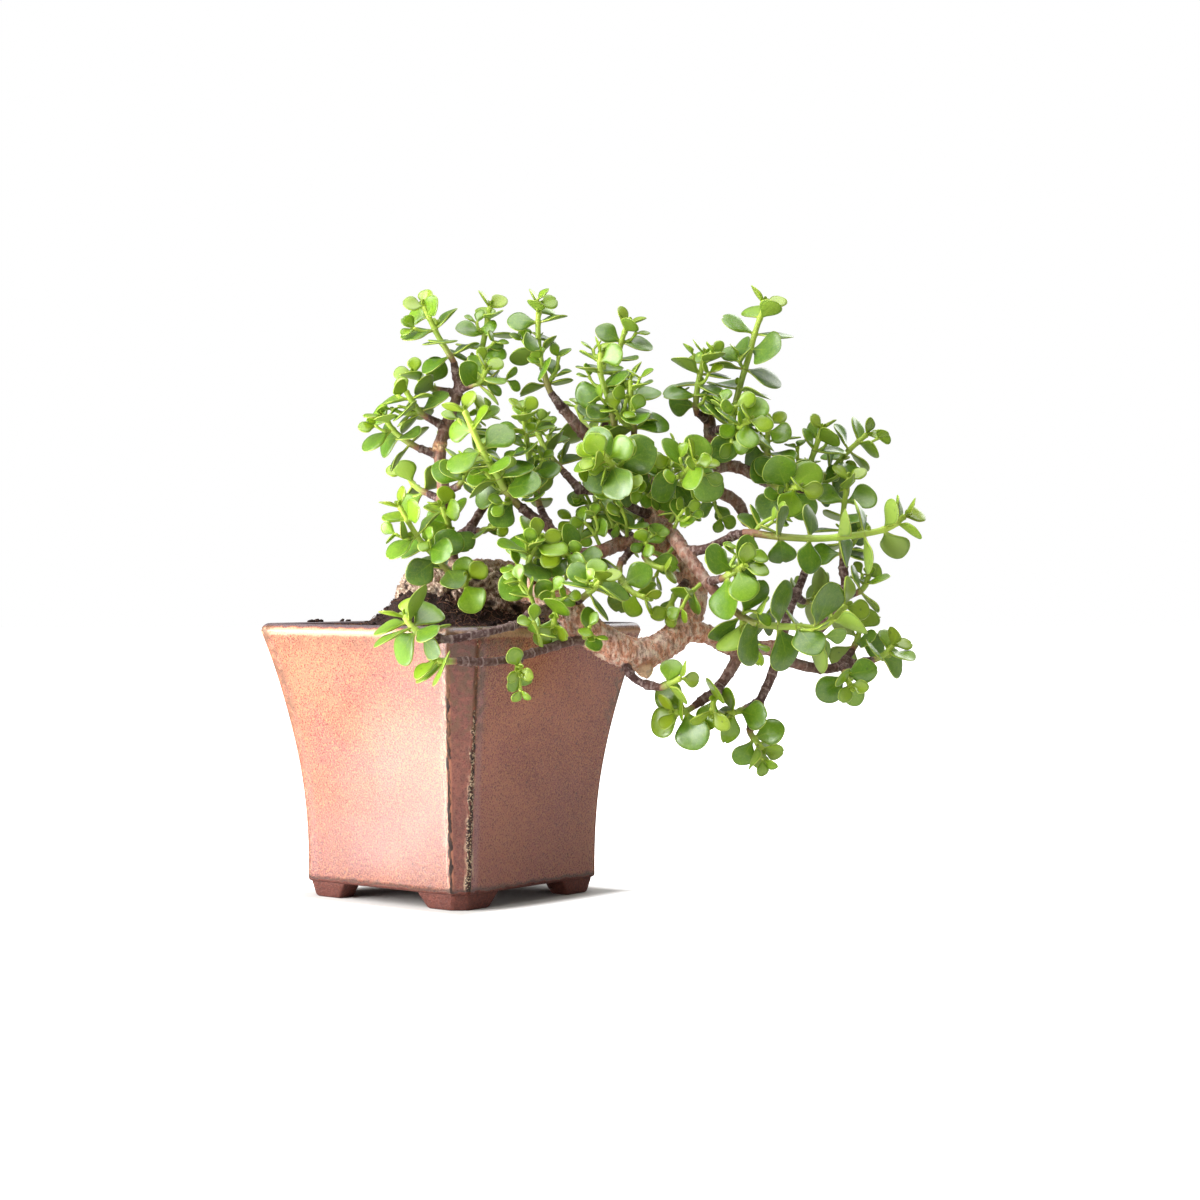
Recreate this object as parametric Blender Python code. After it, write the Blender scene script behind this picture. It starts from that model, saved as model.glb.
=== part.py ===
# Elephant bush bonsai: a semi-cascade tree in a tall square glazed pot with cut corners.
# Metres, +Z up. +X is to the right as the bonsai's front is looked at, -Y is towards the viewer.
# The pot stands on Z = 0, and the origin is under the middle of the whole plant.

import math
import random

import bmesh
import bpy
from mathutils import Matrix, Vector
from mathutils.bvhtree import BVHTree

MM = 0.001

# Pot: half widths are from its centre axis to the flat of a side
RIM_HALF = 0.075
BODY_HALF = 0.0556
RIM_HEIGHT = 0.141
FOOT_HEIGHT = 0.008
WALL = 0.008
FLOOR_TOP = 0.018
CORNER_CUT_FOOT = 0.006
CORNER_CUT_RIM = 0.0108
CORNER_CUT_LEAST = 0.0015
LIP_ROUND = 0.004
LIP_EDGE = 0.001
POT_LEVELS = 7
LEVEL_ROOM = 0.004
POT_TURN = math.radians(-42.0)
DRAIN_RADIUS = 0.010
DRAIN_SIDES = 20
FOOT_LENGTH = 0.030
FOOT_WIDTH = 0.013
FOOT_DRAFT = 0.0018
FOOT_SINK = 0.001
FOOT_SET_BACK = 0.0012

# Room between pieces that touch
CLEAR = 0.0003

# Drainage screen
SCREEN_SIDE = 0.032
SCREEN_THICK = 0.0012
SCREEN_CORNER = 0.002
SCREEN_HOLES = 2
SCREEN_HOLE_SIDE = 0.003
SCREEN_HOLE_CORNER = 0.0004
SCREEN_PITCH = 0.0065

# Root base, an oval stump that stands in a plain pocket of the soil
ROOT_CENTRE = Vector((0.009, 0.0, 0.0))
ROOT_LONG = 0.040
ROOT_DEEP = 0.018
ROOT_BOTTOM = 0.124
ROOT_SIDES = 12
ROOT_LEVELS = (
    (ROOT_BOTTOM, 0.99), (0.150, 1.0), (0.158, 0.96), (0.165, 0.86), (0.1705, 0.66), (0.173, 0.4),
)
POCKET_ROOM = 0.00042
POCKET_TOP = 0.19

# Soil
SOIL_EDGE = 0.1355
HEAP_LEFT = 0.021
HEAP_RIGHT = 0.009
HEAP_REACH = 0.017
HEAP_CORE = 0.8
HEAP_FALL_START = 0.004
HEAP_FALL_LENGTH = 0.034
SOIL_SPANS = 3
SOIL_SHARES = (0.84, 0.68, 0.52, 0.36, 0.2)

# The front view's eye, from which the routes below were laid out
EYE_DISTANCE = 1.330
EYE_HEIGHT = 0.169

# Routes are (across, depth, up) in millimetres: across and up as seen from the front against the
# plane through the pot's axis, depth away from the viewer. A limb's radii go with its route's points.
WOOD = {
    "trunk": dict(
        sides=8,
        radii=(
            8.5, 8.5, 7.8, 7.5, 7.5, 7.8, 8.2, 8, 7.3, 6.6, 6.6, 7.4, 8.2, 6.4, 5.4, 4.8, 4.3, 3.8, 3.4,
            2.8, 2.3,
        ),
        route=[
            (20, -4, 160), (34, -16, 161), (46, -34, 158), (54, -50, 153.5), (61, -60, 147),
            (70, -63, 138), (83, -60, 129), (98, -52, 124.5), (113.5, -43, 131), (123.5, -33, 143),
            (127, -26, 156), (124, -20, 167), (115.5, -14, 177), (109, -9, 186), (105.5, -5, 197),
            (103, 0, 209), (98, 2, 221), (88, 2, 229), (73, 2, 236), (61, 1, 249), (54.5, 0, 257),
        ],
    ),
    "burl": dict(radii=(5, 5.5, 3.5), route=[(112, -12, 180), (107, -18, 183), (103, -22, 186)]),
    "cut_knob": dict(radii=(5, 4), route=[(99, -52, 124), (101, -55, 115)]),
    "left_upright": dict(
        radii=(4.4, 3.9, 3.4, 3.3, 3.3, 3.0, 2.6, 2.2),
        route=[
            (-8, -2, 166), (-7, -2, 180), (-6.3, -2, 194), (-4.5, -2, 210), (-6.5, -2, 231),
            (-2, -1, 246), (3, 0, 260), (2.8, 0, 271),
        ],
    ),
    "left_inner": dict(
        radii=(3.4, 2.8, 2.4, 2.3, 2.0),
        route=[(2, 8, 166), (0, 10, 182), (9, 12, 190), (15, 14, 199), (21, 16, 208)],
    ),
    "left_branch": dict(
        radii=(5.2, 4.4, 3.8, 3.6, 3.2, 2.9, 2.6, 2.3),
        route=[
            (110, -12, 181), (99, -18, 182), (88, -22, 182), (77, -26, 178), (67, -28, 177),
            (56.5, -30, 184), (48.5, -32, 192), (39, -33, 198.5),
        ],
    ),
    "lower_right": dict(
        radii=(5.4, 4.8, 4.0, 3.6, 2.8),
        route=[(120, -40, 137), (133, -35, 135), (146, -30, 128), (167, -25, 128), (189, -20, 133)],
    ),
    "lower_right_end": dict(
        radii=(3.4, 3.0, 2.6, 2.2, 1.9),
        route=[(166, -25, 128), (177, -20, 120.5), (195, -12, 116.5), (209, -8, 119), (220, -5, 120)],
    ),
    "drooping_end": dict(
        radii=(2.6, 2.5, 2.3, 1.9),
        route=[(171, -23, 124), (167, -27, 112), (161.5, -28, 100), (157, -28, 88)],
    ),
    "lower_left_fork": dict(
        radii=(3.4, 2.9, 2.5, 2.0),
        route=[(151, -30, 127), (146.5, -36, 117), (138.5, -40, 106), (130, -42, 99.5)],
    ),
    "under_twig": dict(radii=(2.6, 2.1, 1.7), route=[(88, -58, 126), (94, -63, 113), (104, -66, 107)]),
    "front_diagonal": dict(
        radii=(4.4, 4.0, 3.6, 3.3, 3.0, 2.6),
        route=[
            (109, -8, 191), (115, -26, 187), (121.5, -38, 178), (129, -46, 168), (136.5, -52, 158.5),
            (143, -56, 152),
        ],
    ),
    "middle_right": dict(
        radii=(2.8, 2.4, 2.0),
        route=[(122, -38, 178), (134, -42, 180), (150, -40, 188)],
    ),
    "dark_level": dict(
        radii=(3.4, 2.9, 2.4, 2.0),
        route=[(103, 0, 210), (91, -10, 211.5), (77, -16, 210), (65, -20, 210)],
    ),
    "middle_twig": dict(radii=(2.8, 2.2, 1.8), route=[(106, -5, 196), (94, -16, 201), (86, -22, 206)]),
    "rising_twig": dict(
        radii=(2.6, 2.1, 1.8, 1.6),
        route=[(91, -20, 181), (83, -6, 189), (76, 2, 196), (70, 6, 204)],
    ),
    "right_fork": dict(
        radii=(4.4, 3.9, 3.8, 3.4, 3.2, 2.7),
        route=[
            (103, 0, 203), (113, 4, 209), (124, 6, 211.5), (137, 10, 210), (149, 12, 204),
            (154.5, 8, 193),
        ],
    ),
    "crown_post": dict(
        radii=(3.8, 3.8, 3.6, 3.3, 3.0),
        route=[(122, 6, 211), (130, 9, 218), (134.5, 10, 229), (135, 8, 242), (133.5, 6, 255)],
    ),
    "crown_arm": dict(
        radii=(3.4, 3.2, 3.0, 2.6, 2.2),
        route=[(132, 10, 221), (146, 12, 223), (157, 10, 219), (167, 8, 213), (177, 6, 208)],
    ),
    "right_riser": dict(
        radii=(2.9, 2.6, 2.4, 2.2),
        route=[(186, -21, 132), (199, -16, 144), (206, -12, 158), (205, -9, 171)],
    ),
    "middle_riser": dict(
        radii=(2.7, 2.4, 2.2, 1.9),
        route=[(172, -24, 128), (177, -10, 148), (183, -2, 162), (187, 4, 174)],
    ),
    "long_front": dict(
        radii=(3.0, 2.2, 2.1, 2.0, 2.0, 2.0, 1.9),
        route=[
            (58, -56, 150), (42, -68, 146), (34.5, -83, 140.5), (24, -96, 137.5), (13, -106, 135),
            (0, -111, 132.5), (-10, -112, 132.5),
        ],
    ),
    "long_front_low": dict(
        radii=(3.0, 2.4, 2.2, 2.1, 2.0, 2.0),
        route=[
            (79, -61, 132), (64, -70, 131.5), (51, -80, 128), (35.5, -92, 123.5), (20, -105, 120.5),
            (7, -113, 121),
        ],
    ),
}

# Leafy shoots. The first stretch of each route is a woody twig that grows from the wood above, and the
# green stem goes on from the route's second point. pairs of leaves stand along it, each pair turned
# about a quarter from the last, starting at turn degrees; sides is the number of short side stems; leaf
# is a grown leaf's length in millimetres, and girth is the stem's radius if it isn't the usual one.
SHOOTS = {
    "left_peak": dict(
        route=[(2.8, 0, 268), (1, -2, 276.5), (-7.3, -4, 290.5), (-14.6, -6, 305.7)],
        pairs=5, turn=10, leaf=18,
    ),
    "left_second": dict(
        route=[(2.9, 0, 266), (9.4, 6, 272), (15, 8, 282), (17.7, 8, 294), (19.8, 8, 305.7)],
        pairs=5, turn=20, leaf=18,
    ),
    "left_third": dict(
        route=[(2.8, 0, 262), (9.5, -8, 264.5), (15, -12, 267), (18, -14, 273)],
        pairs=3, sides=1, turn=45, leaf=18,
    ),
    "left_shoulder": dict(
        route=[(3, 0, 260), (-5.7, 3, 262), (-12.5, 4, 264), (-20, 5, 271)],
        pairs=4, turn=0, leaf=18,
    ),
    "left_upper": dict(
        route=[(-3.5, -2, 243), (-13, -6, 248), (-19, -8, 253.5), (-24, -10, 262)],
        pairs=4, sides=1, turn=60, leaf=19,
    ),
    "left_outer": dict(
        route=[(-6.5, -2, 228), (-17.5, -4, 232), (-28.7, -6, 239.4), (-36, -8, 249.3)],
        pairs=5, turn=20, leaf=19,
    ),
    "left_low_back": dict(
        route=[(-5, -2, 205), (-12, 10, 208), (-19, 20, 212), (-24, 28, 219)],
        pairs=3, turn=30, leaf=18,
    ),
    "left_inner_front": dict(
        route=[(-4.8, -2, 208), (3, -10, 212), (6.5, -15, 218), (9.4, -18, 224)],
        pairs=4, turn=70, leaf=19,
    ),
    "left_back": dict(
        route=[(-5, -2, 238), (3, 12, 240), (10, 22, 243), (16, 30, 250)],
        pairs=4, turn=10, leaf=18,
    ),
    "low_left": dict(
        route=[(-2, -10, 163), (-1, -25, 166.5), (-9, -32, 175.5), (-18, -38, 186), (-27.5, -42, 202)],
        pairs=6, turn=15, leaf=19,
    ),
    "low_left_round": dict(
        route=[(4, -10, 160), (6, -24, 160), (7, -30, 161.5), (8, -36, 164)],
        pairs=2, turn=40, leaf=20,
    ),
    "low_left_high": dict(
        route=[(0, 9, 181), (0, -6, 186), (-2, -15, 193), (-5.2, -20, 202)],
        pairs=4, turn=30, leaf=17,
    ),
    "low_left_small": dict(
        route=[(8, 12, 189), (14, -4, 188.5), (19, -12, 190), (24, -17, 192)],
        pairs=2, turn=0, leaf=13,
    ),
    "yellow_front": dict(
        route=[
            (40, -33, 198), (34, -35, 203), (27.7, -38, 210.2), (22.4, -41, 219.6), (15.1, -44, 232.1),
            (6.3, -46, 252),
        ],
        pairs=7, sides=1, turn=25, leaf=20, girth=1.8,
    ),
    "middle_left_high": dict(
        route=[(51, -31, 190), (46, -24, 201), (41, -22, 222), (38.5, -24, 240), (37.6, -26, 251)],
        pairs=6, sides=1, turn=0, leaf=17,
    ),
    "middle_left_back": dict(
        route=[(67, -19, 210), (58, -4, 220), (49, 4, 231), (43, 8, 244)],
        pairs=5, sides=1, turn=40, leaf=18,
    ),
    "first_mast": dict(
        route=[
            (57, 0, 253.5), (51.5, -1, 261), (47.5, -2, 273), (45.4, -2, 284.2), (44.9, -3, 298.3),
            (46, -3, 306),
        ],
        pairs=7, sides=1, turn=0, leaf=17,
    ),
    "second_mast": dict(
        route=[
            (76, 2, 234), (80, 8, 245), (83, 10, 262), (85.5, 10, 274), (88.7, 9, 288.4),
            (91.8, 8, 297),
        ],
        pairs=7, sides=1, turn=15, leaf=17,
    ),
    "third_mast": dict(
        route=[(80, 2, 232), (85, -9, 242), (82, -13, 256), (77.5, -15, 271), (77.7, -15, 282)],
        pairs=6, sides=1, turn=50, leaf=17,
    ),
    "fourth_mast": dict(
        route=[(92, 2, 226), (95, -10, 238), (93.8, -17, 254), (92.9, -20, 268)],
        pairs=5, sides=1, turn=20, leaf=19,
    ),
    "fifth_mast": dict(
        route=[(134.5, 7, 246), (128, 1, 251), (128.5, -3, 265), (132.5, -4, 282)],
        pairs=6, turn=30, leaf=18,
    ),
    "tall_right": dict(
        route=[
            (140, 11, 222), (145, 6, 236), (147.6, 4, 252), (151, 2, 266), (155.5, 0, 281),
            (159, -1, 294), (164, -2, 308),
        ],
        pairs=8, turn=10, leaf=21, girth=1.6,
    ),
    "crown_right_first": dict(
        route=[(160, 10, 217), (165, 5, 225), (165, 3, 236), (166.5, 2, 246)],
        pairs=4, sides=1, turn=10, leaf=18,
    ),
    "crown_right_second": dict(
        route=[(174, 6, 209), (183, 5, 215), (188.9, 4, 228), (194, 3, 243)],
        pairs=5, sides=1, turn=20, leaf=18,
    ),
    "crown_right_third": dict(
        route=[(175, 7, 208), (187, 14, 211), (199, 16, 221), (208, 16, 231), (218, 15, 240)],
        pairs=6, sides=1, turn=35, leaf=17,
    ),
    "right_vertical": dict(
        route=[(205.5, -10, 166), (205, -7, 174), (204.5, -5, 185), (205.5, -4, 201), (208, -4, 217)],
        pairs=7, sides=1, turn=10, leaf=18,
    ),
    "long_right": dict(
        route=[
            (146, -40, 186), (154, -44, 188), (171, -50, 186), (192, -54, 185), (213, -56, 187),
            (229, -57, 190.5), (238, -58, 197),
        ],
        pairs=8, sides=1, turn=55, leaf=20, girth=1.7,
    ),
    "front_big": dict(
        route=[
            (139, -53, 156), (148, -60, 147), (158, -65, 141), (170, -68, 139), (182, -69, 138.7),
            (195, -68, 139), (207, -66, 150),
        ],
        pairs=7, sides=1, turn=30, leaf=25, girth=1.7,
    ),
    "front_big_high": dict(
        route=[(134, -50, 162), (141, -62, 164), (147, -69, 167), (153, -74, 171)],
        pairs=4, sides=1, turn=30, leaf=22,
    ),
    "far_right": dict(
        route=[(216, -6, 120), (221, -7, 121), (227, -9, 124), (232, -10, 129)],
        pairs=3, turn=50, leaf=20,
    ),
    "far_right_under": dict(
        route=[(206, -9, 118.5), (206, -18, 115), (207, -25, 112), (209, -30, 108)],
        pairs=3, turn=10, leaf=18,
    ),
    "far_right_up": dict(
        route=[(205, -10, 119), (210, -1, 126), (213, 4, 133), (215, 8, 142)],
        pairs=4, turn=20, leaf=18,
    ),
    "droop_tip": dict(
        route=[(157.6, -28, 91), (156, -30, 84), (159, -32, 79), (163, -33, 74)],
        pairs=3, turn=30, leaf=19,
    ),
    "droop_middle": dict(
        route=[(161, -28, 99), (154, -37, 96), (149, -42, 94), (144, -46, 93)],
        pairs=3, turn=70, leaf=19,
    ),
    "fork_tip": dict(
        route=[(134, -41, 102.5), (126.5, -44, 97), (121, -47, 94), (116, -50, 94)],
        pairs=3, turn=30, leaf=21,
    ),
    "fork_front": dict(
        route=[(140, -39, 108), (139, -49, 104), (137, -55, 100), (136, -60, 94)],
        pairs=2, turn=10, leaf=20,
    ),
    "under_tip": dict(
        route=[(101, -65, 108.5), (109, -69, 107), (114, -71, 109), (120, -73, 112)],
        pairs=2, turn=40, leaf=19,
    ),
    "front_cascade": dict(
        route=[
            (-6, -112, 132.5), (-12, -113, 134), (-17, -113, 136), (-21, -112.5, 139), (-25, -111, 145),
        ],
        pairs=5, turn=50, leaf=23,
    ),
    "front_cascade_low": dict(
        route=[(10, -111, 120.6), (2, -114.5, 121), (-3, -116, 121), (-8, -117, 121.5)],
        pairs=2, turn=20, leaf=26,
    ),
    "front_spur": dict(
        route=[(35, -92, 124), (34.5, -98, 120.5), (34.5, -101, 118.5), (35, -104, 116)],
        pairs=2, turn=0, leaf=14,
    ),
    "front_hanging": dict(
        route=[(57, -56, 151), (55, -69, 148), (53.5, -74, 144), (53, -79, 139)],
        pairs=2, turn=20, leaf=20,
    ),
    "middle_left_front": dict(
        route=[(45, -33, 158), (42, -45, 164), (40, -50, 171), (42, -53, 178), (46, -55, 185)],
        pairs=5, turn=30, leaf=21,
    ),
    "middle_front": dict(
        route=[(60, -59, 148), (68, -69, 154), (73, -73, 158), (78, -76, 163)],
        pairs=4, turn=50, leaf=19,
    ),
    "middle_front_high": dict(
        route=[(72, -27, 177.5), (66, -40, 175), (61, -48, 175), (56, -54, 178)],
        pairs=4, turn=20, leaf=19,
    ),
    "middle_spray": dict(
        route=[(95, -20, 181), (88, -34, 172), (88, -41, 164), (94, -46, 157), (101, -49, 154)],
        pairs=4, turn=30, leaf=17,
    ),
    "middle_twiglet": dict(
        route=[(101, -18, 181), (101, -32, 175), (105, -39, 171), (111, -44, 169)],
        pairs=2, turn=60, leaf=18,
    ),
    "trunk_twig": dict(
        route=[(124, -26, 163), (118, -36, 158), (115.5, -41, 153), (113, -45, 148)],
        pairs=2, turn=10, leaf=17,
    ),
    "crown_back": dict(
        route=[(103, 0, 207), (109, 20, 214), (114, 36, 222), (118, 48, 232)],
        pairs=3, turn=20, leaf=19,
    ),
    "left_crown_back": dict(
        route=[(82, 2, 231), (75, 22, 238), (69, 36, 245), (65, 46, 254)],
        pairs=3, sides=1, turn=30, leaf=18,
    ),
    "low_back": dict(
        route=[(99, -17, 182), (93, 8, 187), (87, 26, 192), (81, 42, 199)],
        pairs=2, turn=10, leaf=19,
    ),
    "right_outer": dict(
        route=[(205, -12, 156), (211, -9, 156), (216, -6, 159), (219, -4, 166)],
        pairs=3, turn=40, leaf=17,
    ),
    "right_inner": dict(
        route=[(180, -6, 155), (184, 4, 152), (189, 12, 153), (195, 18, 158)],
        pairs=4, sides=1, turn=25, leaf=18,
    ),
    "front_crown": dict(
        route=[(95, 2, 223), (91, -22, 221), (85, -36, 223), (79, -46, 228)],
        pairs=5, sides=1, turn=45, leaf=22,
    ),
    "front_crown_right": dict(
        route=[(103, 0, 213), (112, -20, 215), (121, -34, 219), (127, -43, 226)],
        pairs=5, sides=1, turn=15, leaf=21,
    ),
    "crown_fill": dict(
        route=[(135, 8, 241), (143, -12, 243), (150, -24, 243), (156, -33, 247)],
        pairs=5, sides=1, turn=35, leaf=21,
    ),
    "crown_fill_low": dict(
        route=[(157, 10, 219), (166, -12, 214), (174, -25, 211), (182, -34, 212)],
        pairs=5, sides=1, turn=55, leaf=21,
    ),
}

# Leaves: the outline's (share of the length, share of the half width) from the stem to the tip
LEAF_OUTLINE = ((0.55, 1.0), (0.99, 0.46))
LEAF_THICK = 0.0021
LEAF_CURL = 0.10
LEAF_CROWN = 0.5
LEAF_NECK = 0.0032
NECK_HALF = 0.001
LEAF_TIP_FACES = ((0, 5, 1), (5, 2, 1), (5, 3, 2), (3, 4, 2), (4, 1, 2), (4, 0, 1))

# The growth rule. Pairs stand closer, smaller and steeper towards the tip; sizes are shares of a grown
# leaf, angles are degrees.
TIP_ROOM = 0.001
BASE_ROOM = 0.0045
PAIR_PACKING = 1.15
PAIR_SIZES = (0.62, 0.85, 1.0)
PAIR_SPREADS = (40, 60, 72, 80)
PAIR_PLAY = 18
SPREAD_PLAY = 9
FACE_PLAY = 30
LEAF_WEIGHT = Vector((0.0, 0.0, -0.12))
LIGHT_PULL = Vector((-0.1, -0.8, 0.35))
DEPTH_SHARE = 0.65
LENGTH_RANGE = (0.88, 1.06)
WIDTH_RANGE = (0.66, 0.9)
LEAF_TRIES = 16
TRY_TURN = 5
TRY_TURN_MOST = 40
TRY_SHRINK = 0.02
GROWTH_CLEARANCE = 0.0005
NEIGHBOUR_REACH = 0.045
SAME_BUD = 0.0015
OUTWARD_LEAST = 0.4

# Stems: girths are radii in millimetres
STEM_GIRTH = 1.5
STEM_TAPER = 0.25
NODE_HALF = 0.0008
TWIG_GIRTHS = (2.2, 1.9)

# Side stems: (degrees from the main stem, distance in metres) of their points
SIDE_STEPS = ((58, 0.008), (44, 0.016))
SIDE_LIFT = Vector((0.0, 0.0, 0.15))
SIDE_PAIRS = 2
SIDE_LEAF = 0.88
SIDE_GIRTH = 0.8
SIDE_BASE = 0.0004


def seen(across, depth, up):
    """The point that looks to be at (across, up) from the front and lies at this depth, in metres."""
    reach = 1 + depth * MM / EYE_DISTANCE
    return Vector((across * MM * reach, depth * MM, EYE_HEIGHT + (up * MM - EYE_HEIGHT) * reach))


def along_route(points, place):
    """Catmull-Rom curve through the points; place runs from 0 at the first to the number of spans."""
    span = min(int(place), len(points) - 2)
    t = place - span
    b, c = points[span], points[span + 1]
    a = points[span - 1] if span else b - (c - b)
    d = points[span + 2] if span + 2 < len(points) else c + (c - b)
    cubic = (2 * a - 5 * b + 4 * c - d) * t**2 + (3 * b - a - 3 * c + d) * t**3
    return 0.5 * (2 * b + (c - a) * t + cubic)


def even_points(points, start, count):
    """count + 1 points, evenly far apart along the curve from place start to its end, and its length."""
    fine = [along_route(points, start + (len(points) - 1 - start) * i / 60) for i in range(61)]
    lengths = [0.0]
    for p, q in zip(fine, fine[1:]):
        lengths.append(lengths[-1] + (q - p).length)
    result = []
    for i in range(count + 1):
        wanted = lengths[-1] * i / count
        k = next((j for j in range(60) if lengths[j + 1] >= wanted - 1e-9), 59)
        share = (wanted - lengths[k]) / max(lengths[k + 1] - lengths[k], 1e-9)
        result.append(fine[k].lerp(fine[k + 1], min(share, 1.0)))
    return result, lengths[-1]


def material(name, colour, roughness):
    result = bpy.data.materials.new(name)
    result.use_nodes = True
    shader = result.node_tree.nodes["Principled BSDF"]
    shader.inputs["Base Color"].default_value = (*colour, 1.0)
    shader.inputs["Roughness"].default_value = roughness
    return result


def mesh_object(name, points, faces, collection):
    mesh = bpy.data.meshes.new(name)
    mesh.from_pydata([tuple(p) for p in points], [], faces)
    mesh.update()
    result = bpy.data.objects.new(name, mesh)
    collection.objects.link(result)
    return result


def loft(rings):
    """Points and faces of a closed solid through rings of equally many points, lowest ring first."""
    count = len(rings[0])
    points = [p for ring in rings for p in ring]
    faces = [tuple(reversed(range(count)))]
    for k in range(len(rings) - 1):
        low, high = k * count, (k + 1) * count
        for i in range(count):
            j = (i + 1) % count
            faces.append((low + i, low + j, high + j, high + i))
    faces.append(tuple(range((len(rings) - 1) * count, len(rings) * count)))
    return points, faces


def evaluated_mesh(obj):
    bpy.context.view_layer.update()
    graph = bpy.context.evaluated_depsgraph_get()
    return bpy.data.meshes.new_from_object(obj.evaluated_get(graph))


def tube(name, points, radii, sides, collection):
    """A curve with a round bevel made into a mesh with welded caps; radii are in millimetres."""
    curve = bpy.data.curves.new(name, "CURVE")
    curve.dimensions = "3D"
    curve.bevel_depth = MM
    curve.bevel_resolution = sides // 2 - 2
    curve.use_fill_caps = True
    spline = curve.splines.new("POLY")
    spline.points.add(len(points) - 1)
    for control, place, radius in zip(spline.points, points, radii):
        control.co = (*place, 1.0)
        control.radius = radius
    guide = bpy.data.objects.new(name + "_curve", curve)
    collection.objects.link(guide)
    mesh = evaluated_mesh(guide)
    welder = bmesh.new()
    welder.from_mesh(mesh)
    bmesh.ops.remove_doubles(welder, verts=welder.verts, dist=0.00002)
    welder.to_mesh(mesh)
    welder.free()
    result = bpy.data.objects.new(name, mesh)
    collection.objects.link(result)
    bpy.data.objects.remove(guide)
    bpy.data.curves.remove(curve)
    return result


def tree_of(obj):
    points = [v.co.copy() for v in obj.data.vertices]
    return BVHTree.FromPolygons(points, [tuple(p.vertices) for p in obj.data.polygons])


def join(target, operands, operation):
    """Applies one Boolean of target with every object of a collection, then removes those objects."""
    tool = target.modifiers.new("join", "BOOLEAN")
    tool.operation = operation
    tool.operand_type = "COLLECTION"
    tool.collection = operands
    tool.solver = "EXACT"
    mesh = evaluated_mesh(target)
    target.modifiers.clear()
    target.data = mesh
    for obj in list(operands.objects):
        bpy.data.objects.remove(obj)


def quarter_turn(quarter):
    return Matrix.Rotation(POT_TURN + quarter * math.pi / 2, 3, "Z")


def cut_square(z, half, cut, along=1):
    """Square with cut corners, turned as the pot stands; along is the number of spans of each side."""
    points = []
    for quarter in range(4):
        for i in range(along + 1):
            points.append(quarter_turn(quarter) @ Vector((half, (half - cut) * (2 * i / along - 1), z)))
    return points


def outer_ring(z, inset=0.0, along=1):
    """The pot's outside at height z, moved inwards by inset."""
    flare = min((z - FOOT_HEIGHT) / (RIM_HEIGHT - FOOT_HEIGHT - LIP_ROUND), 1.0) ** 2
    half = BODY_HALF + (RIM_HALF - BODY_HALF) * flare
    up = (z - FOOT_HEIGHT) / (RIM_HEIGHT - FOOT_HEIGHT)
    cut = CORNER_CUT_FOOT + (CORNER_CUT_RIM - CORNER_CUT_FOOT) * up
    return cut_square(z, half - inset, max(cut - inset * (2 - math.sqrt(2)), CORNER_CUT_LEAST), along)


def wall_levels():
    height = RIM_HEIGHT - LIP_ROUND - FOOT_HEIGHT
    return [FOOT_HEIGHT + height * i / POT_LEVELS for i in range(POT_LEVELS + 1)]


def pot_rings():
    rings = [outer_ring(z) for z in wall_levels()]
    for angle in (30, 60, 90):
        lift = LIP_ROUND * math.sin(math.radians(angle))
        inset = LIP_ROUND * (1 - math.cos(math.radians(angle)))
        rings.append(outer_ring(RIM_HEIGHT - LIP_ROUND + lift, inset))
    rings.append(outer_ring(RIM_HEIGHT, WALL - LIP_EDGE))
    rings.append(outer_ring(RIM_HEIGHT - 1.5 * LIP_EDGE, WALL))
    inner = [z for z in reversed(wall_levels()) if z > FLOOR_TOP + LEVEL_ROOM] + [FLOOR_TOP]
    return rings + [outer_ring(z, WALL) for z in inner]


def make_pot(collection, cutters):
    pot = mesh_object("pot", *loft(pot_rings()), collection)
    for quarter in range(4):
        sections = []
        for z, draft in ((0.0, FOOT_DRAFT), (FOOT_HEIGHT + FOOT_SINK, 0.0)):
            outer = BODY_HALF - FOOT_SET_BACK - draft
            end = outer - FOOT_LENGTH + 2 * draft
            inner = outer - FOOT_WIDTH + draft
            bevel = outer - CORNER_CUT_FOOT
            outline = ((end, outer), (end, inner), (inner, inner), (inner, end))
            outline += ((outer, end), (outer, bevel), (bevel, outer))
            sections.append([quarter_turn(quarter) @ Vector((x, y, z)) for x, y in outline])
        mesh_object(f"foot_{quarter}", *loft(sections), cutters)
    join(pot, cutters, "UNION")
    drain = []
    angles = [2 * math.pi * i / DRAIN_SIDES for i in range(DRAIN_SIDES)]
    for z in (0.0, 2 * FLOOR_TOP):
        ring = [(DRAIN_RADIUS * math.cos(a), DRAIN_RADIUS * math.sin(a), z) for a in angles]
        drain.append([Vector(p) for p in ring])
    mesh_object("drain", *loft(drain), cutters)
    join(pot, cutters, "DIFFERENCE")
    pot.data.materials.append(material("copper pink glaze", (0.42, 0.16, 0.10), 0.32))


def make_screen(collection, cutters):
    low = FLOOR_TOP + CLEAR
    sections = [cut_square(z, SCREEN_SIDE / 2, SCREEN_CORNER) for z in (low, low + SCREEN_THICK)]
    screen = mesh_object("drainage_screen", *loft(sections), collection)
    middle = (SCREEN_HOLES - 1) / 2
    for row in range(SCREEN_HOLES):
        for column in range(SCREEN_HOLES):
            across = Vector(((row - middle) * SCREEN_PITCH, (column - middle) * SCREEN_PITCH, 0.0))
            place = quarter_turn(0) @ across
            hole = []
            for z in (low - SCREEN_THICK, low + 2 * SCREEN_THICK):
                hole.append([p + place for p in cut_square(z, SCREEN_HOLE_SIDE / 2, SCREEN_HOLE_CORNER)])
            mesh_object(f"hole_{row}_{column}", *loft(hole), cutters)
    join(screen, cutters, "DIFFERENCE")
    screen.data.materials.append(material("black plastic mesh", (0.02, 0.02, 0.02), 0.5))


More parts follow.
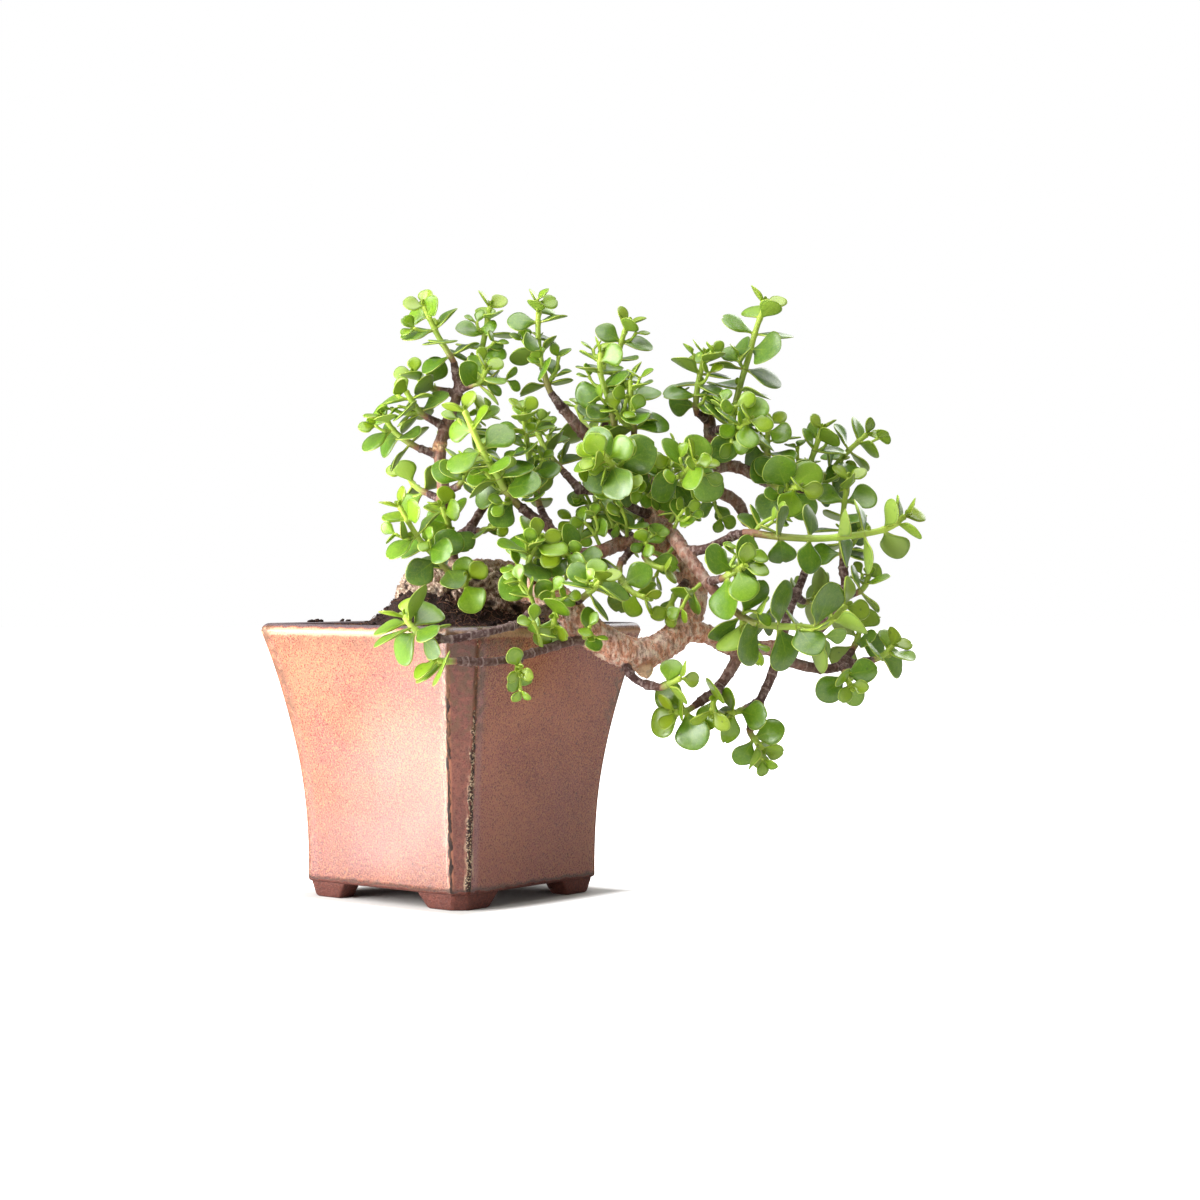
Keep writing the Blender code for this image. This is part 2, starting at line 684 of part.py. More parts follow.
def root_ring(z, scale, grow=0.0):
    """Oval of the root base at height z, with the slow lumps of old wood."""
    points = []
    for i in range(ROOT_SIDES):
        a = 2 * math.pi * i / ROOT_SIDES
        lump = 1 + 0.05 * math.sin(3 * a + 0.6) + 0.035 * math.sin(5 * a + 2.1)
        x = (ROOT_LONG * lump * scale + grow) * math.cos(a)
        y = (ROOT_DEEP * lump * scale + grow) * math.sin(a)
        points.append(ROOT_CENTRE + Vector((x, y, z)))
    return points


def soil_height(x, y):
    """Height of the soil's surface: a heap round the root base that falls to the pot's edge."""
    dx = max(abs(x - ROOT_CENTRE.x) - ROOT_LONG * HEAP_CORE, 0.0)
    dy = max(abs(y) - ROOT_DEEP * HEAP_CORE, 0.0)
    right = min(max((x - HEAP_FALL_START) / HEAP_FALL_LENGTH, 0.0), 1.0)
    heap = HEAP_LEFT + (HEAP_RIGHT - HEAP_LEFT) * right * right * (3 - 2 * right)
    return SOIL_EDGE + heap * math.exp(-((math.hypot(dx, dy) / HEAP_REACH) ** 1.5))


def soil_rings():
    bottom = FLOOR_TOP + CLEAR + SCREEN_THICK + CLEAR
    gap = WALL + CLEAR
    rings = [outer_ring(bottom, gap, SOIL_SPANS)]
    rings += [outer_ring(z, gap, SOIL_SPANS) for z in wall_levels()[1:-1] if z > bottom + LEVEL_ROOM]
    edge = outer_ring(SOIL_EDGE, gap + CLEAR, SOIL_SPANS)
    rings.append(edge)
    for share in SOIL_SHARES:
        places = [(p.x * share, p.y * share) for p in edge]
        rings.append([Vector((x, y, soil_height(x, y))) for x, y in places])
    return rings


def make_soil(collection, cutters):
    soil = mesh_object("soil", *loft(soil_rings()), collection)
    pocket = [root_ring(z, 1.0, POCKET_ROOM) for z in (ROOT_BOTTOM - CLEAR, POCKET_TOP)]
    mesh_object("pocket", *loft(pocket), cutters)
    join(soil, cutters, "DIFFERENCE")
    soil.data.materials.append(material("dark fibrous soil", (0.035, 0.022, 0.016), 0.95))


class Stem:
    """A green stem: its route, where on it the stem starts, and its row of opposite leaf pairs."""

    def __init__(self, name, route, start, pairs, turn, leaf, girth):
        self.name = name
        self.route = route
        self.start = start
        self.pairs = pairs
        self.turn = turn
        self.leaf = leaf * MM
        self.girth = girth * MM
        self.length = even_points(route, start, 1)[1]

    def share(self, k):
        """Pair k's distance from the tip as a share of the stem's length."""
        room = self.length - TIP_ROOM - BASE_ROOM
        back = TIP_ROOM + room * (k / max(self.pairs - 1, 1)) ** PAIR_PACKING
        return back / self.length

    def axes(self, k):
        """Pair k's root, the stem's heading there, two axes square to it, and the ring's turn."""
        last = len(self.route) - 1
        place = self.start + (last - self.start) * (1 - self.share(k))
        heading = along_route(self.route, min(place + 0.05, last)) - along_route(self.route, place - 0.05)
        heading.normalize()
        level = heading.cross(Vector((0, 1, 0))).normalized()
        front = heading.cross(level).normalized()
        play = random.Random(f"{self.name} pair {k}").uniform(-PAIR_PLAY, PAIR_PLAY)
        return along_route(self.route, place), heading, level, front, self.turn + play

    def mesh(self, leaves, base_gap):
        """Points and faces: a four-sided stem with two rings at each pair, from which leaves grow."""
        root, heading, level, front, turn = self.axes(self.pairs - 1)
        base_heading = along_route(self.route, self.start + 0.02) - along_route(self.route, self.start)
        if self.start:
            base_heading = self.route[1] - self.route[0]
        base_heading.normalize()
        base = along_route(self.route, self.start) + base_heading * base_gap
        level = (level - base_heading * level.dot(base_heading)).normalized()
        rings = [stem_ring(base, level, base_heading.cross(level), turn, self.girth)]
        for k in reversed(range(self.pairs)):
            root, heading, level, front, turn = self.axes(k)
            radius = self.girth * (1 - STEM_TAPER * (1 - self.share(k)))
            for lift in (-NODE_HALF, NODE_HALF):
                rings.append(stem_ring(root + heading * lift, level, front, turn, radius))
        points, faces = loft(rings)
        opened = set()
        skins = []
        for (k, half_turn), leaf in leaves.items():
            side = 1 + 4 * (1 + 2 * (self.pairs - 1 - k)) + (k + 2 * half_turn) % 4
            grown, skin = leaf_on_quad(leaf, faces[side], points)
            points += grown
            skins += skin
            opened.add(side)
        return points, [face for i, face in enumerate(faces) if i not in opened] + skins


def stem_ring(centre, level, front, turn, radius):
    """Four corners; the side between corners k and k + 1 faces turn + 90 k degrees."""
    angles = [math.radians(turn - 45 + 90 * i) for i in range(4)]
    return [centre + (level * math.cos(a) + front * math.sin(a)) * radius for a in angles]


def leaf_points(leaf, margin=0.0):
    """A fleshy obovate blade's outline from one side round the tip to the other, and its two crowns."""
    root, blade, face, length, width = leaf
    side = blade.cross(face).normalized()
    face = side.cross(blade).normalized()
    half = width / 2 + margin

    def at(t, across, lift):
        bent = face * (lift - LEAF_CURL * length * t * t)
        return root + blade * ((length + margin) * t) + side * across + bent

    points = [at(t, half * share, 0.0) for t, share in LEAF_OUTLINE]
    points += [at(t, -half * share, 0.0) for t, share in reversed(LEAF_OUTLINE)]
    thick = LEAF_THICK / 2 + margin
    return points + [at(LEAF_CROWN, 0.0, thick), at(LEAF_CROWN, 0.0, -thick)]


def leaf_shape(leaf, start=0.0, margin=0.0):
    """The blade as a closed solid of its own that begins this far from its root."""
    root, blade, face = leaf[:3]
    side = blade.cross(face).normalized() * (NECK_HALF + margin)
    face = side.cross(blade)
    base = [root + blade * start + across for across in (face, side, -face, -side)]
    grown, faces = leaf_on_quad(leaf, (0, 1, 2, 3), base, margin)
    return base + grown, faces + [(3, 2, 1, 0)]


def leaf_on_quad(leaf, quad, points, margin=0.0):
    """The blade's points, and the faces that join them to a quad of the stem, which they replace."""
    root, blade = leaf[:2]
    first = len(points)
    grown = leaf_points(leaf, margin)
    ends = [points[i] for i in quad]
    loop = (0, 5, 3, 4)
    best = None
    for shift in range(4):
        match = 0.0
        for i in range(4):
            middle = (ends[i] + ends[(i + 1) % 4]) / 2 - root
            middle -= blade * middle.dot(blade)
            other = grown[loop[(i + shift) % 4]] - root
            other -= blade * other.dot(blade)
            match += middle.normalized().dot(other.normalized())
        if best is None or match > best[0]:
            best = (match, shift)
    ring = [first + loop[(i + best[1]) % 4] for i in range(4)]
    faces = []
    for i in range(4):
        faces.append((quad[i], quad[(i + 1) % 4], ring[i]))
        faces.append((quad[(i + 1) % 4], ring[(i + 1) % 4], ring[i]))
    return grown, faces + [tuple(first + i for i in tip) for tip in LEAF_TIP_FACES]


class Crowd:
    """What a new stem or leaf mustn't cross: fixed solids, other stems, and the leaves so far."""

    def __init__(self, fixed):
        self.fixed = fixed
        self.stems = []
        self.leaves = []

    def stem_meets(self, stem, owner):
        probe = BVHTree.FromPolygons(*stem.mesh({}, SIDE_BASE))
        others = [tree for other, tree in self.stems if other != owner]
        return any(probe.overlap(tree) for tree in self.fixed + others)

    def leaf_meets(self, leaf, owner):
        whole = BVHTree.FromPolygons(*leaf_shape(leaf, 0.0, GROWTH_CLEARANCE))
        free = BVHTree.FromPolygons(*leaf_shape(leaf, LEAF_NECK, GROWTH_CLEARANCE))
        if any(whole.overlap(tree) for tree in self.fixed):
            return True
        if any((free if other == owner else whole).overlap(tree) for other, tree in self.stems):
            return True
        for root, tree in self.leaves:
            away = (root - leaf[0]).length
            if away < NEIGHBOUR_REACH and (free if away < SAME_BUD else whole).overlap(tree):
                return True
        return False

    def add_stem(self, stem, owner):
        self.stems.append((owner, BVHTree.FromPolygons(*stem.mesh({}, 0.0))))

    def add_leaf(self, leaf):
        self.leaves.append((leaf[0], BVHTree.FromPolygons(*leaf_shape(leaf))))


def grow_leaf(stem, k, half_turn, owner, crowd):
    """One leaf of pair k: the first of its tries that crosses nothing, or None."""
    draw = random.Random(f"{stem.name} leaf {k} {half_turn}")
    root, heading, level, front, turn = stem.axes(k)
    turn += 90 * k + 180 * half_turn
    angle = math.radians(turn)
    straight = level * math.cos(angle) + front * math.sin(angle)
    size = stem.leaf * PAIR_SIZES[min(k, len(PAIR_SIZES) - 1)]
    spread = PAIR_SPREADS[min(k, len(PAIR_SPREADS) - 1)]
    for attempt in range(LEAF_TRIES):
        loose = min(attempt * TRY_TURN, TRY_TURN_MOST)
        angle = math.radians(turn + draw.uniform(-loose, loose))
        lean = math.radians(spread + draw.uniform(-SPREAD_PLAY - loose, SPREAD_PLAY + loose))
        out = level * math.cos(angle) + front * math.sin(angle)
        blade = out * math.sin(lean) + heading * math.cos(lean) + LEAF_WEIGHT
        blade = Vector((blade.x, blade.y * DEPTH_SHARE, blade.z)).normalized()
        face = heading * math.sin(lean) - out * math.cos(lean) + LIGHT_PULL
        face = Matrix.Rotation(math.radians(draw.gauss(0, FACE_PLAY)), 3, blade) @ face
        length = size * draw.uniform(*LENGTH_RANGE) * (1 - TRY_SHRINK * attempt)
        leaf = (root, blade, face, length, length * draw.uniform(*WIDTH_RANGE))
        if blade.dot(straight) > OUTWARD_LEAST and not crowd.leaf_meets(leaf, owner):
            crowd.add_leaf(leaf)
            return leaf
    return None


def main_stem(name, shoot):
    route = [seen(*p) for p in shoot["route"]]
    girth = shoot.get("girth", STEM_GIRTH)
    return Stem(name, route, 1.0, shoot["pairs"], shoot["turn"], shoot["leaf"], girth)


def side_stems(name, shoot, main, crowd):
    """Short stems that rise from the axils of the main stem's lower pairs, where there is room."""
    found = []
    for k in reversed(range(main.pairs)):
        if len(found) == shoot.get("sides", 0):
            break
        root, heading, level, front, turn = main.axes(k)
        for half_turn in (0, 1):
            angle = math.radians(turn + 90 * k + 180 * half_turn)
            out = level * math.cos(angle) + front * math.sin(angle)
            route = [root]
            for lean, reach in SIDE_STEPS:
                angle = math.radians(lean)
                step = out * math.sin(angle) + heading * math.cos(angle) + SIDE_LIFT
                route.append(root + step.normalized() * reach)
            leaf = shoot["leaf"] * SIDE_LEAF
            side = Stem(f"{name} side {k}", route, 0.0, SIDE_PAIRS, 45, leaf, STEM_GIRTH * SIDE_GIRTH)
            if not crowd.stem_meets(side, name):
                crowd.add_stem(side, name)
                found.append(side)
                break
    return found


def make_wood(collection, limbs, mains):
    """The root base, the limbs and the shoots' woody twigs as one solid; the trees of what made it."""
    wood = mesh_object("wood", *loft([root_ring(z, scale) for z, scale in ROOT_LEVELS]), collection)
    for name, limb in WOOD.items():
        tube(name, [seen(*p) for p in limb["route"]], limb["radii"], limb.get("sides", 6), limbs)
    for name, main in mains.items():
        tube("twig_" + name, main.route[:2], TWIG_GIRTHS, 4, limbs)
    trees = [tree_of(wood)] + [tree_of(obj) for obj in limbs.objects]
    join(wood, limbs, "UNION")
    wood.data.materials.append(material("grey brown bark", (0.20, 0.13, 0.10), 0.85))
    return trees


def make_shoots(collection, branches, mains, fixed):
    green = material("fleshy green leaf", (0.16, 0.36, 0.05), 0.38)
    crowd = Crowd(fixed)
    for name, main in mains.items():
        crowd.add_stem(main, name)
    shoots = {name: [main] + side_stems(name, SHOOTS[name], main, crowd) for name, main in mains.items()}
    for name, stems in shoots.items():
        grown = []
        for stem in stems:
            leaves = {}
            for k in range(stem.pairs):
                for half_turn in (0, 1):
                    leaf = grow_leaf(stem, k, half_turn, name, crowd)
                    if leaf:
                        leaves[k, half_turn] = leaf
            grown.append(stem.mesh(leaves, CLEAR if stem.start else SIDE_BASE))
        shoot = mesh_object("shoot_" + name, *grown[0], collection)
        for i, shape in enumerate(grown[1:]):
            mesh_object(f"side_{i}", *shape, branches)
        if len(grown) > 1:
            join(shoot, branches, "UNION")
        shoot.data.materials.append(green)
    print("leaves", len(crowd.leaves), "stems", len(crowd.stems))


def main():
    for obj in list(bpy.data.objects):
        bpy.data.objects.remove(obj, do_unlink=True)
    parts = bpy.data.collections.new("elephant bush bonsai")
    cutters = bpy.data.collections.new("cutters")
    for collection in (parts, cutters):
        bpy.context.scene.collection.children.link(collection)
    make_pot(parts, cutters)
    make_screen(parts, cutters)
    make_soil(parts, cutters)
    mains = {name: main_stem(name, shoot) for name, shoot in SHOOTS.items()}
    vessel = [BVHTree.FromPolygons(*loft(rings)) for rings in (pot_rings(), soil_rings())]
    make_shoots(parts, cutters, mains, vessel + make_wood(parts, cutters, mains))
    solids = list(parts.objects)
    corners = [v.co for obj in solids for v in obj.data.vertices]
    middle = [(min(c[i] for c in corners) + max(c[i] for c in corners)) / 2 for i in range(2)]
    centre = bpy.data.objects.new("plant_centre", None)
    parts.objects.link(centre)
    for obj in solids:
        obj.parent = centre
    centre.location = (-middle[0], -middle[1], 0.0)
    bpy.context.view_layer.update()


main()
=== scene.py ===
import math
import random

import bpy
import numpy as np
from mathutils import Matrix, Vector, noise
from mathutils.bvhtree import BVHTree
from mathutils.kdtree import KDTree


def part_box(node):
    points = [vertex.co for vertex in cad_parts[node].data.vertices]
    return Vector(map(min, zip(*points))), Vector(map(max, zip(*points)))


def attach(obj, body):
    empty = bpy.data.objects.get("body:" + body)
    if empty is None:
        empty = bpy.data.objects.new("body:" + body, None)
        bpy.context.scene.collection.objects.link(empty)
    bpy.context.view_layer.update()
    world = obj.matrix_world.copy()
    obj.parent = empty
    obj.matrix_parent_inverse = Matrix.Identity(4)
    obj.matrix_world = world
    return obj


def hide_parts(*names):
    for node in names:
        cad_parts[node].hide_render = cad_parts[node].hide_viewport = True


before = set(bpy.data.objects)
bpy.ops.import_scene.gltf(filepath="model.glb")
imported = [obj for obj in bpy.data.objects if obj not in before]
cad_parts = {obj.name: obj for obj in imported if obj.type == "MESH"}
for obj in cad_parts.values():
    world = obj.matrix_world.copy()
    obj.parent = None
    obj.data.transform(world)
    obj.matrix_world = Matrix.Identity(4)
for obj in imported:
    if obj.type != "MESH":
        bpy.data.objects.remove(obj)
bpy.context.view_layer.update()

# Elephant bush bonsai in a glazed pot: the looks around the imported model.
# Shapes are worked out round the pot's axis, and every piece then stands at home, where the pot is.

mm = 0.001
potLow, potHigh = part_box("pot")
home = Vector(((potLow.x + potHigh.x) / 2, (potLow.y + potHigh.y) / 2, 0.0))


def tint(red, green, blue):
    # a colour as it looks on screen, 0 to 255, made into what the shader wants
    def linear(value):
        value /= 255
        return value / 12.92 if value <= 0.04045 else ((value + 0.055) / 1.055) ** 2.4
    return (linear(red), linear(green), linear(blue), 1.0)


def clamped(value, least=0.0, most=1.0):
    return min(max(value, least), most)


def smooth(t):
    return t * t * (3 - 2 * t)


def between(low, high, share):
    return low + (high - low) * share


def isSocket(value):
    return isinstance(value, bpy.types.NodeSocket)


def connect(node, inputs):
    # an input is a plain value or another node's output
    for name, value in inputs.items():
        if isSocket(value):
            node.id_data.links.new(value, node.inputs[name])
        else:
            node.inputs[name].default_value = value
    return node


def put(tree, kind, inputs=None, **settings):
    node = tree.nodes.new("ShaderNode" + kind)
    for name, value in settings.items():
        setattr(node, name, value)
    return connect(node, inputs or {})


def calc(operation, *values, clamp=False):
    # one sum, in the node tree that its sockets belong to
    tree = next(value.id_data for value in values if isSocket(value))
    return put(tree, "Math", dict(enumerate(values)), operation=operation, use_clamp=clamp).outputs[0]


def times(first, *others):
    for other in others:
        first = calc("MULTIPLY", first, other)
    return first


def plus(first, second, clamp=False):
    return calc("ADD", first, second, clamp=clamp)


def minus(first, second, clamp=False):
    return calc("SUBTRACT", first, second, clamp=clamp)


def larger(first, second):
    return calc("MAXIMUM", first, second)


def fade(value, start, end, low=0.0, high=1.0):
    # runs smoothly from low to high as value goes from start to end
    inputs = {"Value": value, "From Min": start, "From Max": end, "To Min": low, "To Max": high}
    return put(value.id_data, "MapRange", inputs, interpolation_type="SMOOTHSTEP").outputs["Result"]


def stretch(where, scales):
    return put(where.id_data, "VectorMath", {0: where, 1: scales}, operation="MULTIPLY").outputs[0]


def mark(where, name):
    # the numbers that a piece's mesh carries under this name, as three outputs
    found = put(where.id_data, "Attribute", attribute_name=name)
    return put(where.id_data, "SeparateXYZ", {0: found.outputs["Vector"]}).outputs


class Coats:
    # a colour laid on coat by coat; a shade is one of the look's names, or a colour made before
    def __init__(self, look, shade):
        self.look = look
        self.made = self.shade(shade)

    def shade(self, shade):
        return self.look[shade] if isinstance(shade, str) else shade

    def lay(self, share, shade):
        tree = next(value.id_data for value in (share, self.made) if isSocket(value))
        inputs = {0: share, 6: self.made, 7: self.shade(shade)}
        self.made = put(tree, "Mix", inputs, data_type="RGBA").outputs[2]


def newGroup(name, **usual):
    # a node group that reads a place and these numbers, and puts out masks
    group = bpy.data.node_groups.new(name, "ShaderNodeTree")
    group.interface.new_socket("Place", in_out="INPUT", socket_type="NodeSocketVector")
    for label, value in usual.items():
        socket = group.interface.new_socket(label, in_out="INPUT", socket_type="NodeSocketFloat")
        socket.default_value = value
    group.interface.new_socket("Mask", in_out="OUTPUT", socket_type="NodeSocketFloat")
    given = group.nodes.new("NodeGroupInput").outputs
    return group, given, calc("DIVIDE", 1000.0, given["Size"])


def finishGroup(group, mask):
    connect(group.nodes.new("NodeGroupOutput"), {"Mask": mask})
    return group


def place(group, where, **inputs):
    node = where.id_data.nodes.new("ShaderNodeGroup")
    node.node_tree = group
    return connect(node, {"Place": where, **inputs}).outputs["Mask"]


def makeGrain():
    # fine even noise; Size is the width of a grain in millimetres
    group, given, scale = newGroup("fineGrain", Size=1.0, Contrast=1.0)
    seen = put(group, "TexNoise", {"Vector": given["Place"], "Scale": scale, "Detail": 2.0})
    spread = times(minus(seen.outputs[0], 0.5), given["Contrast"])
    return finishGroup(group, plus(spread, 0.5, clamp=True))


def makeSpecks():
    # separate round specks; Amount is the share of cells that have one
    group, given, scale = newGroup("scatteredSpecks", Size=1.0, Amount=0.5, Soft=0.2)
    cells = put(group, "TexVoronoi", {"Vector": given["Place"], "Scale": scale})
    kind = put(group, "SeparateColor", {0: cells.outputs["Color"]}).outputs
    there = calc("LESS_THAN", kind[0], given["Amount"])
    edge = plus(0.16, times(kind[1], 0.2))
    inside = calc("DIVIDE", minus(edge, cells.outputs["Distance"]), given["Soft"])
    dot = larger(calc("MINIMUM", inside, 1.0), 0.0)
    return finishGroup(group, times(dot, there))


def makeBlotches():
    # large soft patches; Cover moves how much of the surface they take
    group, given, scale = newGroup("softBlotches", Size=10.0, Cover=0.5, Edge=0.15)
    inputs = {"Vector": given["Place"], "Scale": scale, "Detail": 4.0, "Distortion": 0.4}
    seen = put(group, "TexNoise", inputs)
    above = minus(seen.outputs[0], minus(1.0, given["Cover"]))
    return finishGroup(group, plus(calc("DIVIDE", above, given["Edge"]), 0.5, clamp=True))


grain, specks, blotches = makeGrain(), makeSpecks(), makeBlotches()


def grainMask(where, size, contrast):
    return place(grain, where, Size=size, Contrast=contrast)


def speckMask(where, size, amount, soft):
    return place(specks, where, Size=size, Amount=amount, Soft=soft)


def blotchMask(where, size, cover, edge):
    return place(blotches, where, Size=size, Cover=cover, Edge=edge)


def newMaterial(name, **fixed):
    # fixed values go straight on the shader's sockets, underscores standing for spaces
    material = bpy.data.materials.new(name)
    material.use_nodes = True
    shader = material.node_tree.nodes["Principled BSDF"]
    connect(shader, {socket.replace("_", " "): value for socket, value in fixed.items()})
    return material, shader, put(material.node_tree, "TexCoord").outputs["Object"]


def dress(shader, colour, roughness, *bumps):
    # bumps are (height, depth in metres) pairs, coarse first
    inputs = {"Base Color": colour, "Roughness": roughness}
    for height, depth in bumps:
        under = {"Normal": inputs["Normal"]} if "Normal" in inputs else {}
        bump = put(shader.id_data, "Bump", {"Height": height, "Distance": depth, "Strength": 1.0, **under})
        inputs["Normal"] = bump.outputs["Normal"]
    connect(shader, inputs)


triangleCounts = {}


def link(thing):
    bpy.context.scene.collection.objects.link(thing)
    return thing


def joined(rings):
    return [p for ring in rings for p in ring]


def shifted(faces, first):
    # faces for points that begin at this number
    return [tuple(first + i for i in face) for face in faces]


def makePiece(name, points, faces, materials, node, marks=None, kinds=None):
    # one finished piece: points and faces round the pot's axis, marks that its materials read
    mesh = bpy.data.meshes.new(name)
    mesh.from_pydata(np.asarray(points, float).tolist(), [], faces)
    mesh.polygons.foreach_set("use_smooth", [True] * len(mesh.polygons))
    for material in materials:
        mesh.materials.append(material)
    if kinds is not None:
        mesh.polygons.foreach_set("material_index", kinds)
    for label, values in (marks or {}).items():
        found = mesh.attributes.new(label, "FLOAT_VECTOR", "POINT")
        found.data.foreach_set("vector", np.asarray(values, np.float32).ravel())
    mesh.update()
    piece = link(bpy.data.objects.new(name, mesh))
    piece.location = home
    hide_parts(node)
    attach(piece, "root")
    mesh.calc_loop_triangles()
    triangleCounts[name] = len(mesh.loop_triangles)


print("stage 1: frame loaded, the pot stands at", [round(c, 4) for c in home])

# Pot

potForm = dict(
    rimHalf=0.075, bodyHalf=0.0556, rimHeight=0.141, footHeight=0.008, wall=0.008, floorTop=0.018,
    cutFoot=0.006, cutRim=0.0108, cutLeast=0.0015, lipRound=0.004, lipEdge=0.001, levels=7, levelRoom=0.004,
    turn=math.radians(-42.0), drainRadius=0.010, clear=0.0003,
    footLength=0.030, footWidth=0.013, footDraft=0.0018, footSlant=0.006, footSetBack=0.0012, footSink=0.001,
)
potLook = dict(
    spans=(26, 5),  # along a side, and along a cut corner
    cornerSpans=4, cornerRound=0.0016, cornerShare=0.6,
    wallSpans=58, lipSpans=9, edgeSpans=4, innerSpans=18, undersideSpans=5, floorShares=(0.35, 0.7, 1.0),
    wave=0.00035, waveGrain=26,  # how far the hand-pressed walls swell and sink
    crust=0.00040, crustAt=0.0006, crustWide=0.0009,  # the glaze's thick run beside each ridge
    frontFrom=-0.05, elsewhere=0.35,  # the front corner has it in full, the others this share of it
    lowEdgeIn=0.0012, lowEdgeMid=0.0004, lowEdgeHigh=0.0014, holeEdge=0.0006, lipDip=0.0003,
    footLevels=(0.0, 0.0004, 0.0009, 0.0024, 0.0042, 0.006, 0.0073),
    footEase=0.0007, footEaseHigh=0.0012, footBend=0.0016, footCurve=0.75,
    # marks that the glaze reads: mm from a ridge, mm high and share along, then heights alone
    unglazed=(20.0, 5.0, 0.0), footMark=(20.0, 4.0, 0.0), lowEdgeMark=7.0, insideTop=126, insideGlaze=132.0,
    glaze=tint(140, 66, 46), glazePale=tint(168, 94, 68), glazeViolet=tint(146, 68, 70),
    sand=tint(178, 122, 74), dusk=tint(78, 38, 32), cream=tint(226, 196, 160), breakLine=tint(44, 32, 28),
    rimReflection=tint(92, 84, 92), clay=tint(108, 56, 44), clayDark=tint(70, 36, 30), sheen=tint(140, 104, 112),
    cutShade=tint(84, 44, 38), cutPale=tint(116, 64, 55), ridgeTan=tint(160, 106, 80),
    wearBrown=tint(96, 66, 44),
    plastic=tint(24, 24, 25), scuffed=tint(44, 43, 42),
)


def quarterTurn(quarter):
    return Matrix.Rotation(potForm["turn"] + quarter * math.pi / 2, 3, "Z")


def cutSquare(z, half, cut, along=1):
    # the model's own outline: a square with cut corners, turned as the pot stands
    points = []
    for quarter in range(4):
        for i in range(along + 1):
            points.append(quarterTurn(quarter) @ Vector((half, (half - cut) * (2 * i / along - 1), z)))
    return points


def outlineAt(z, inset=0.0):
    # half width and corner cut of the pot's outside at this height, moved inwards by inset
    f = potForm
    flare = min((z - f["footHeight"]) / (f["rimHeight"] - f["footHeight"] - f["lipRound"]), 1.0) ** 2
    half = between(f["bodyHalf"], f["rimHalf"], flare)
    cut = between(f["cutFoot"], f["cutRim"], (z - f["footHeight"]) / (f["rimHeight"] - f["footHeight"]))
    return half - inset, max(cut - inset * (2 - math.sqrt(2)), f["cutLeast"])


def outerRing(z, inset=0.0, along=1):
    return cutSquare(z, *outlineAt(z, inset), along)


def wallLevels():
    height = potForm["rimHeight"] - potForm["lipRound"] - potForm["footHeight"]
    return [potForm["footHeight"] + height * i / potForm["levels"] for i in range(potForm["levels"] + 1)]


def plainPotRings():
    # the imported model's pot, which the leaves were grown clear of
    f = potForm
    rings = [outerRing(z) for z in wallLevels()]
    for angle in (math.radians(degrees) for degrees in (30, 60, 90)):
        lift = f["lipRound"] * math.sin(angle)
        rings.append(outerRing(f["rimHeight"] - f["lipRound"] + lift, f["lipRound"] * (1 - math.cos(angle))))
    rings.append(outerRing(f["rimHeight"], f["wall"] - f["lipEdge"]))
    rings.append(outerRing(f["rimHeight"] - 1.5 * f["lipEdge"], f["wall"]))
    inner = [z for z in reversed(wallLevels()) if z > f["floorTop"] + f["levelRoom"]] + [f["floorTop"]]
    return rings + [outerRing(z, f["wall"]) for z in inner]


def softOutline(half, cut, spans=potLook["spans"]):
    # (point, distance from the nearest ridge, share along): distances are below zero on a cut corner
    room = min(potLook["cornerRound"], cut * potLook["cornerShare"])
    start, end = Vector((half, cut - half, 0)), Vector((half, half - cut, 0))
    far = Vector((half - cut, half, 0))
    side, chamfer = (end - start).length, (far - end).length
    toward = (far - end) / chamfer
    bend = [i / (potLook["cornerSpans"] + 1) for i in range(1, potLook["cornerSpans"] + 1)]
    points = []
    for along in (room + (side - 2 * room) * i / spans[0] for i in range(spans[0] + 1)):
        points.append((start.lerp(end, along / side), min(along, side - along), 2 * along / side - 1))
    for t in bend:
        before, after = end - Vector((0, room, 0)), end + toward * room
        points.append((before.lerp(end, t).lerp(end.lerp(after, t), t), room * (1 - 2 * t), 1.0))
    for along in (room + (chamfer - 2 * room) * i / spans[1] for i in range(spans[1] + 1)):
        points.append((end + toward * along, -min(along, chamfer - along), 1 - 2 * along / chamfer))
    for t in bend:
        before, after = far - toward * room, far - Vector((room, 0, 0))
        points.append((before.lerp(far, t).lerp(far.lerp(after, t), t), -room * (1 - 2 * t), -1.0))
    return [(quarterTurn(quarter) @ p, ridge, share) for quarter in range(4) for p, ridge, share in points]


def finePotRing(z, inset=0.0, swell=1.0):
    # a dense ring of the pot's skin with its hand-made wave and the glaze's thick run at the ridges
    look = potLook
    ring, marks = [], []
    for p, ridge, share in softOutline(*outlineAt(max(z, potForm["footHeight"]), inset)):
        out = Vector((p.x, p.y, 0)).normalized()
        wave = noise.noise(Vector((p.x, p.y, z)) * look["waveGrain"]) * look["wave"]
        run = math.exp(-((abs(ridge) - look["crustAt"]) / look["crustWide"]) ** 2)
        lumps = 0.45 + 0.55 * noise.noise(Vector((p.x * 120, p.y * 120, z * 420)))
        low = 0.35 + 0.65 * (1 - (z - potForm["footHeight"]) / potForm["rimHeight"])
        low *= (0.6 - 0.4 * share) * (1.0 if p.y < look["frontFrom"] else look["elsewhere"])
        ring.append(Vector((p.x, p.y, z)) + out * swell * (wave + run * lumps * low * look["crust"]))
        marks.append((ridge * 1000, z * 1000, share))
    return ring, marks


def circleRing(z, radius, like):
    # a round ring whose points stand at the same bearings as those of another ring
    return [Vector((p.x, p.y, 0)).normalized() * radius + Vector((0, 0, z)) for p in like]


def blended(first, second, share):
    return [a.lerp(b, share) for a, b in zip(first, second)]


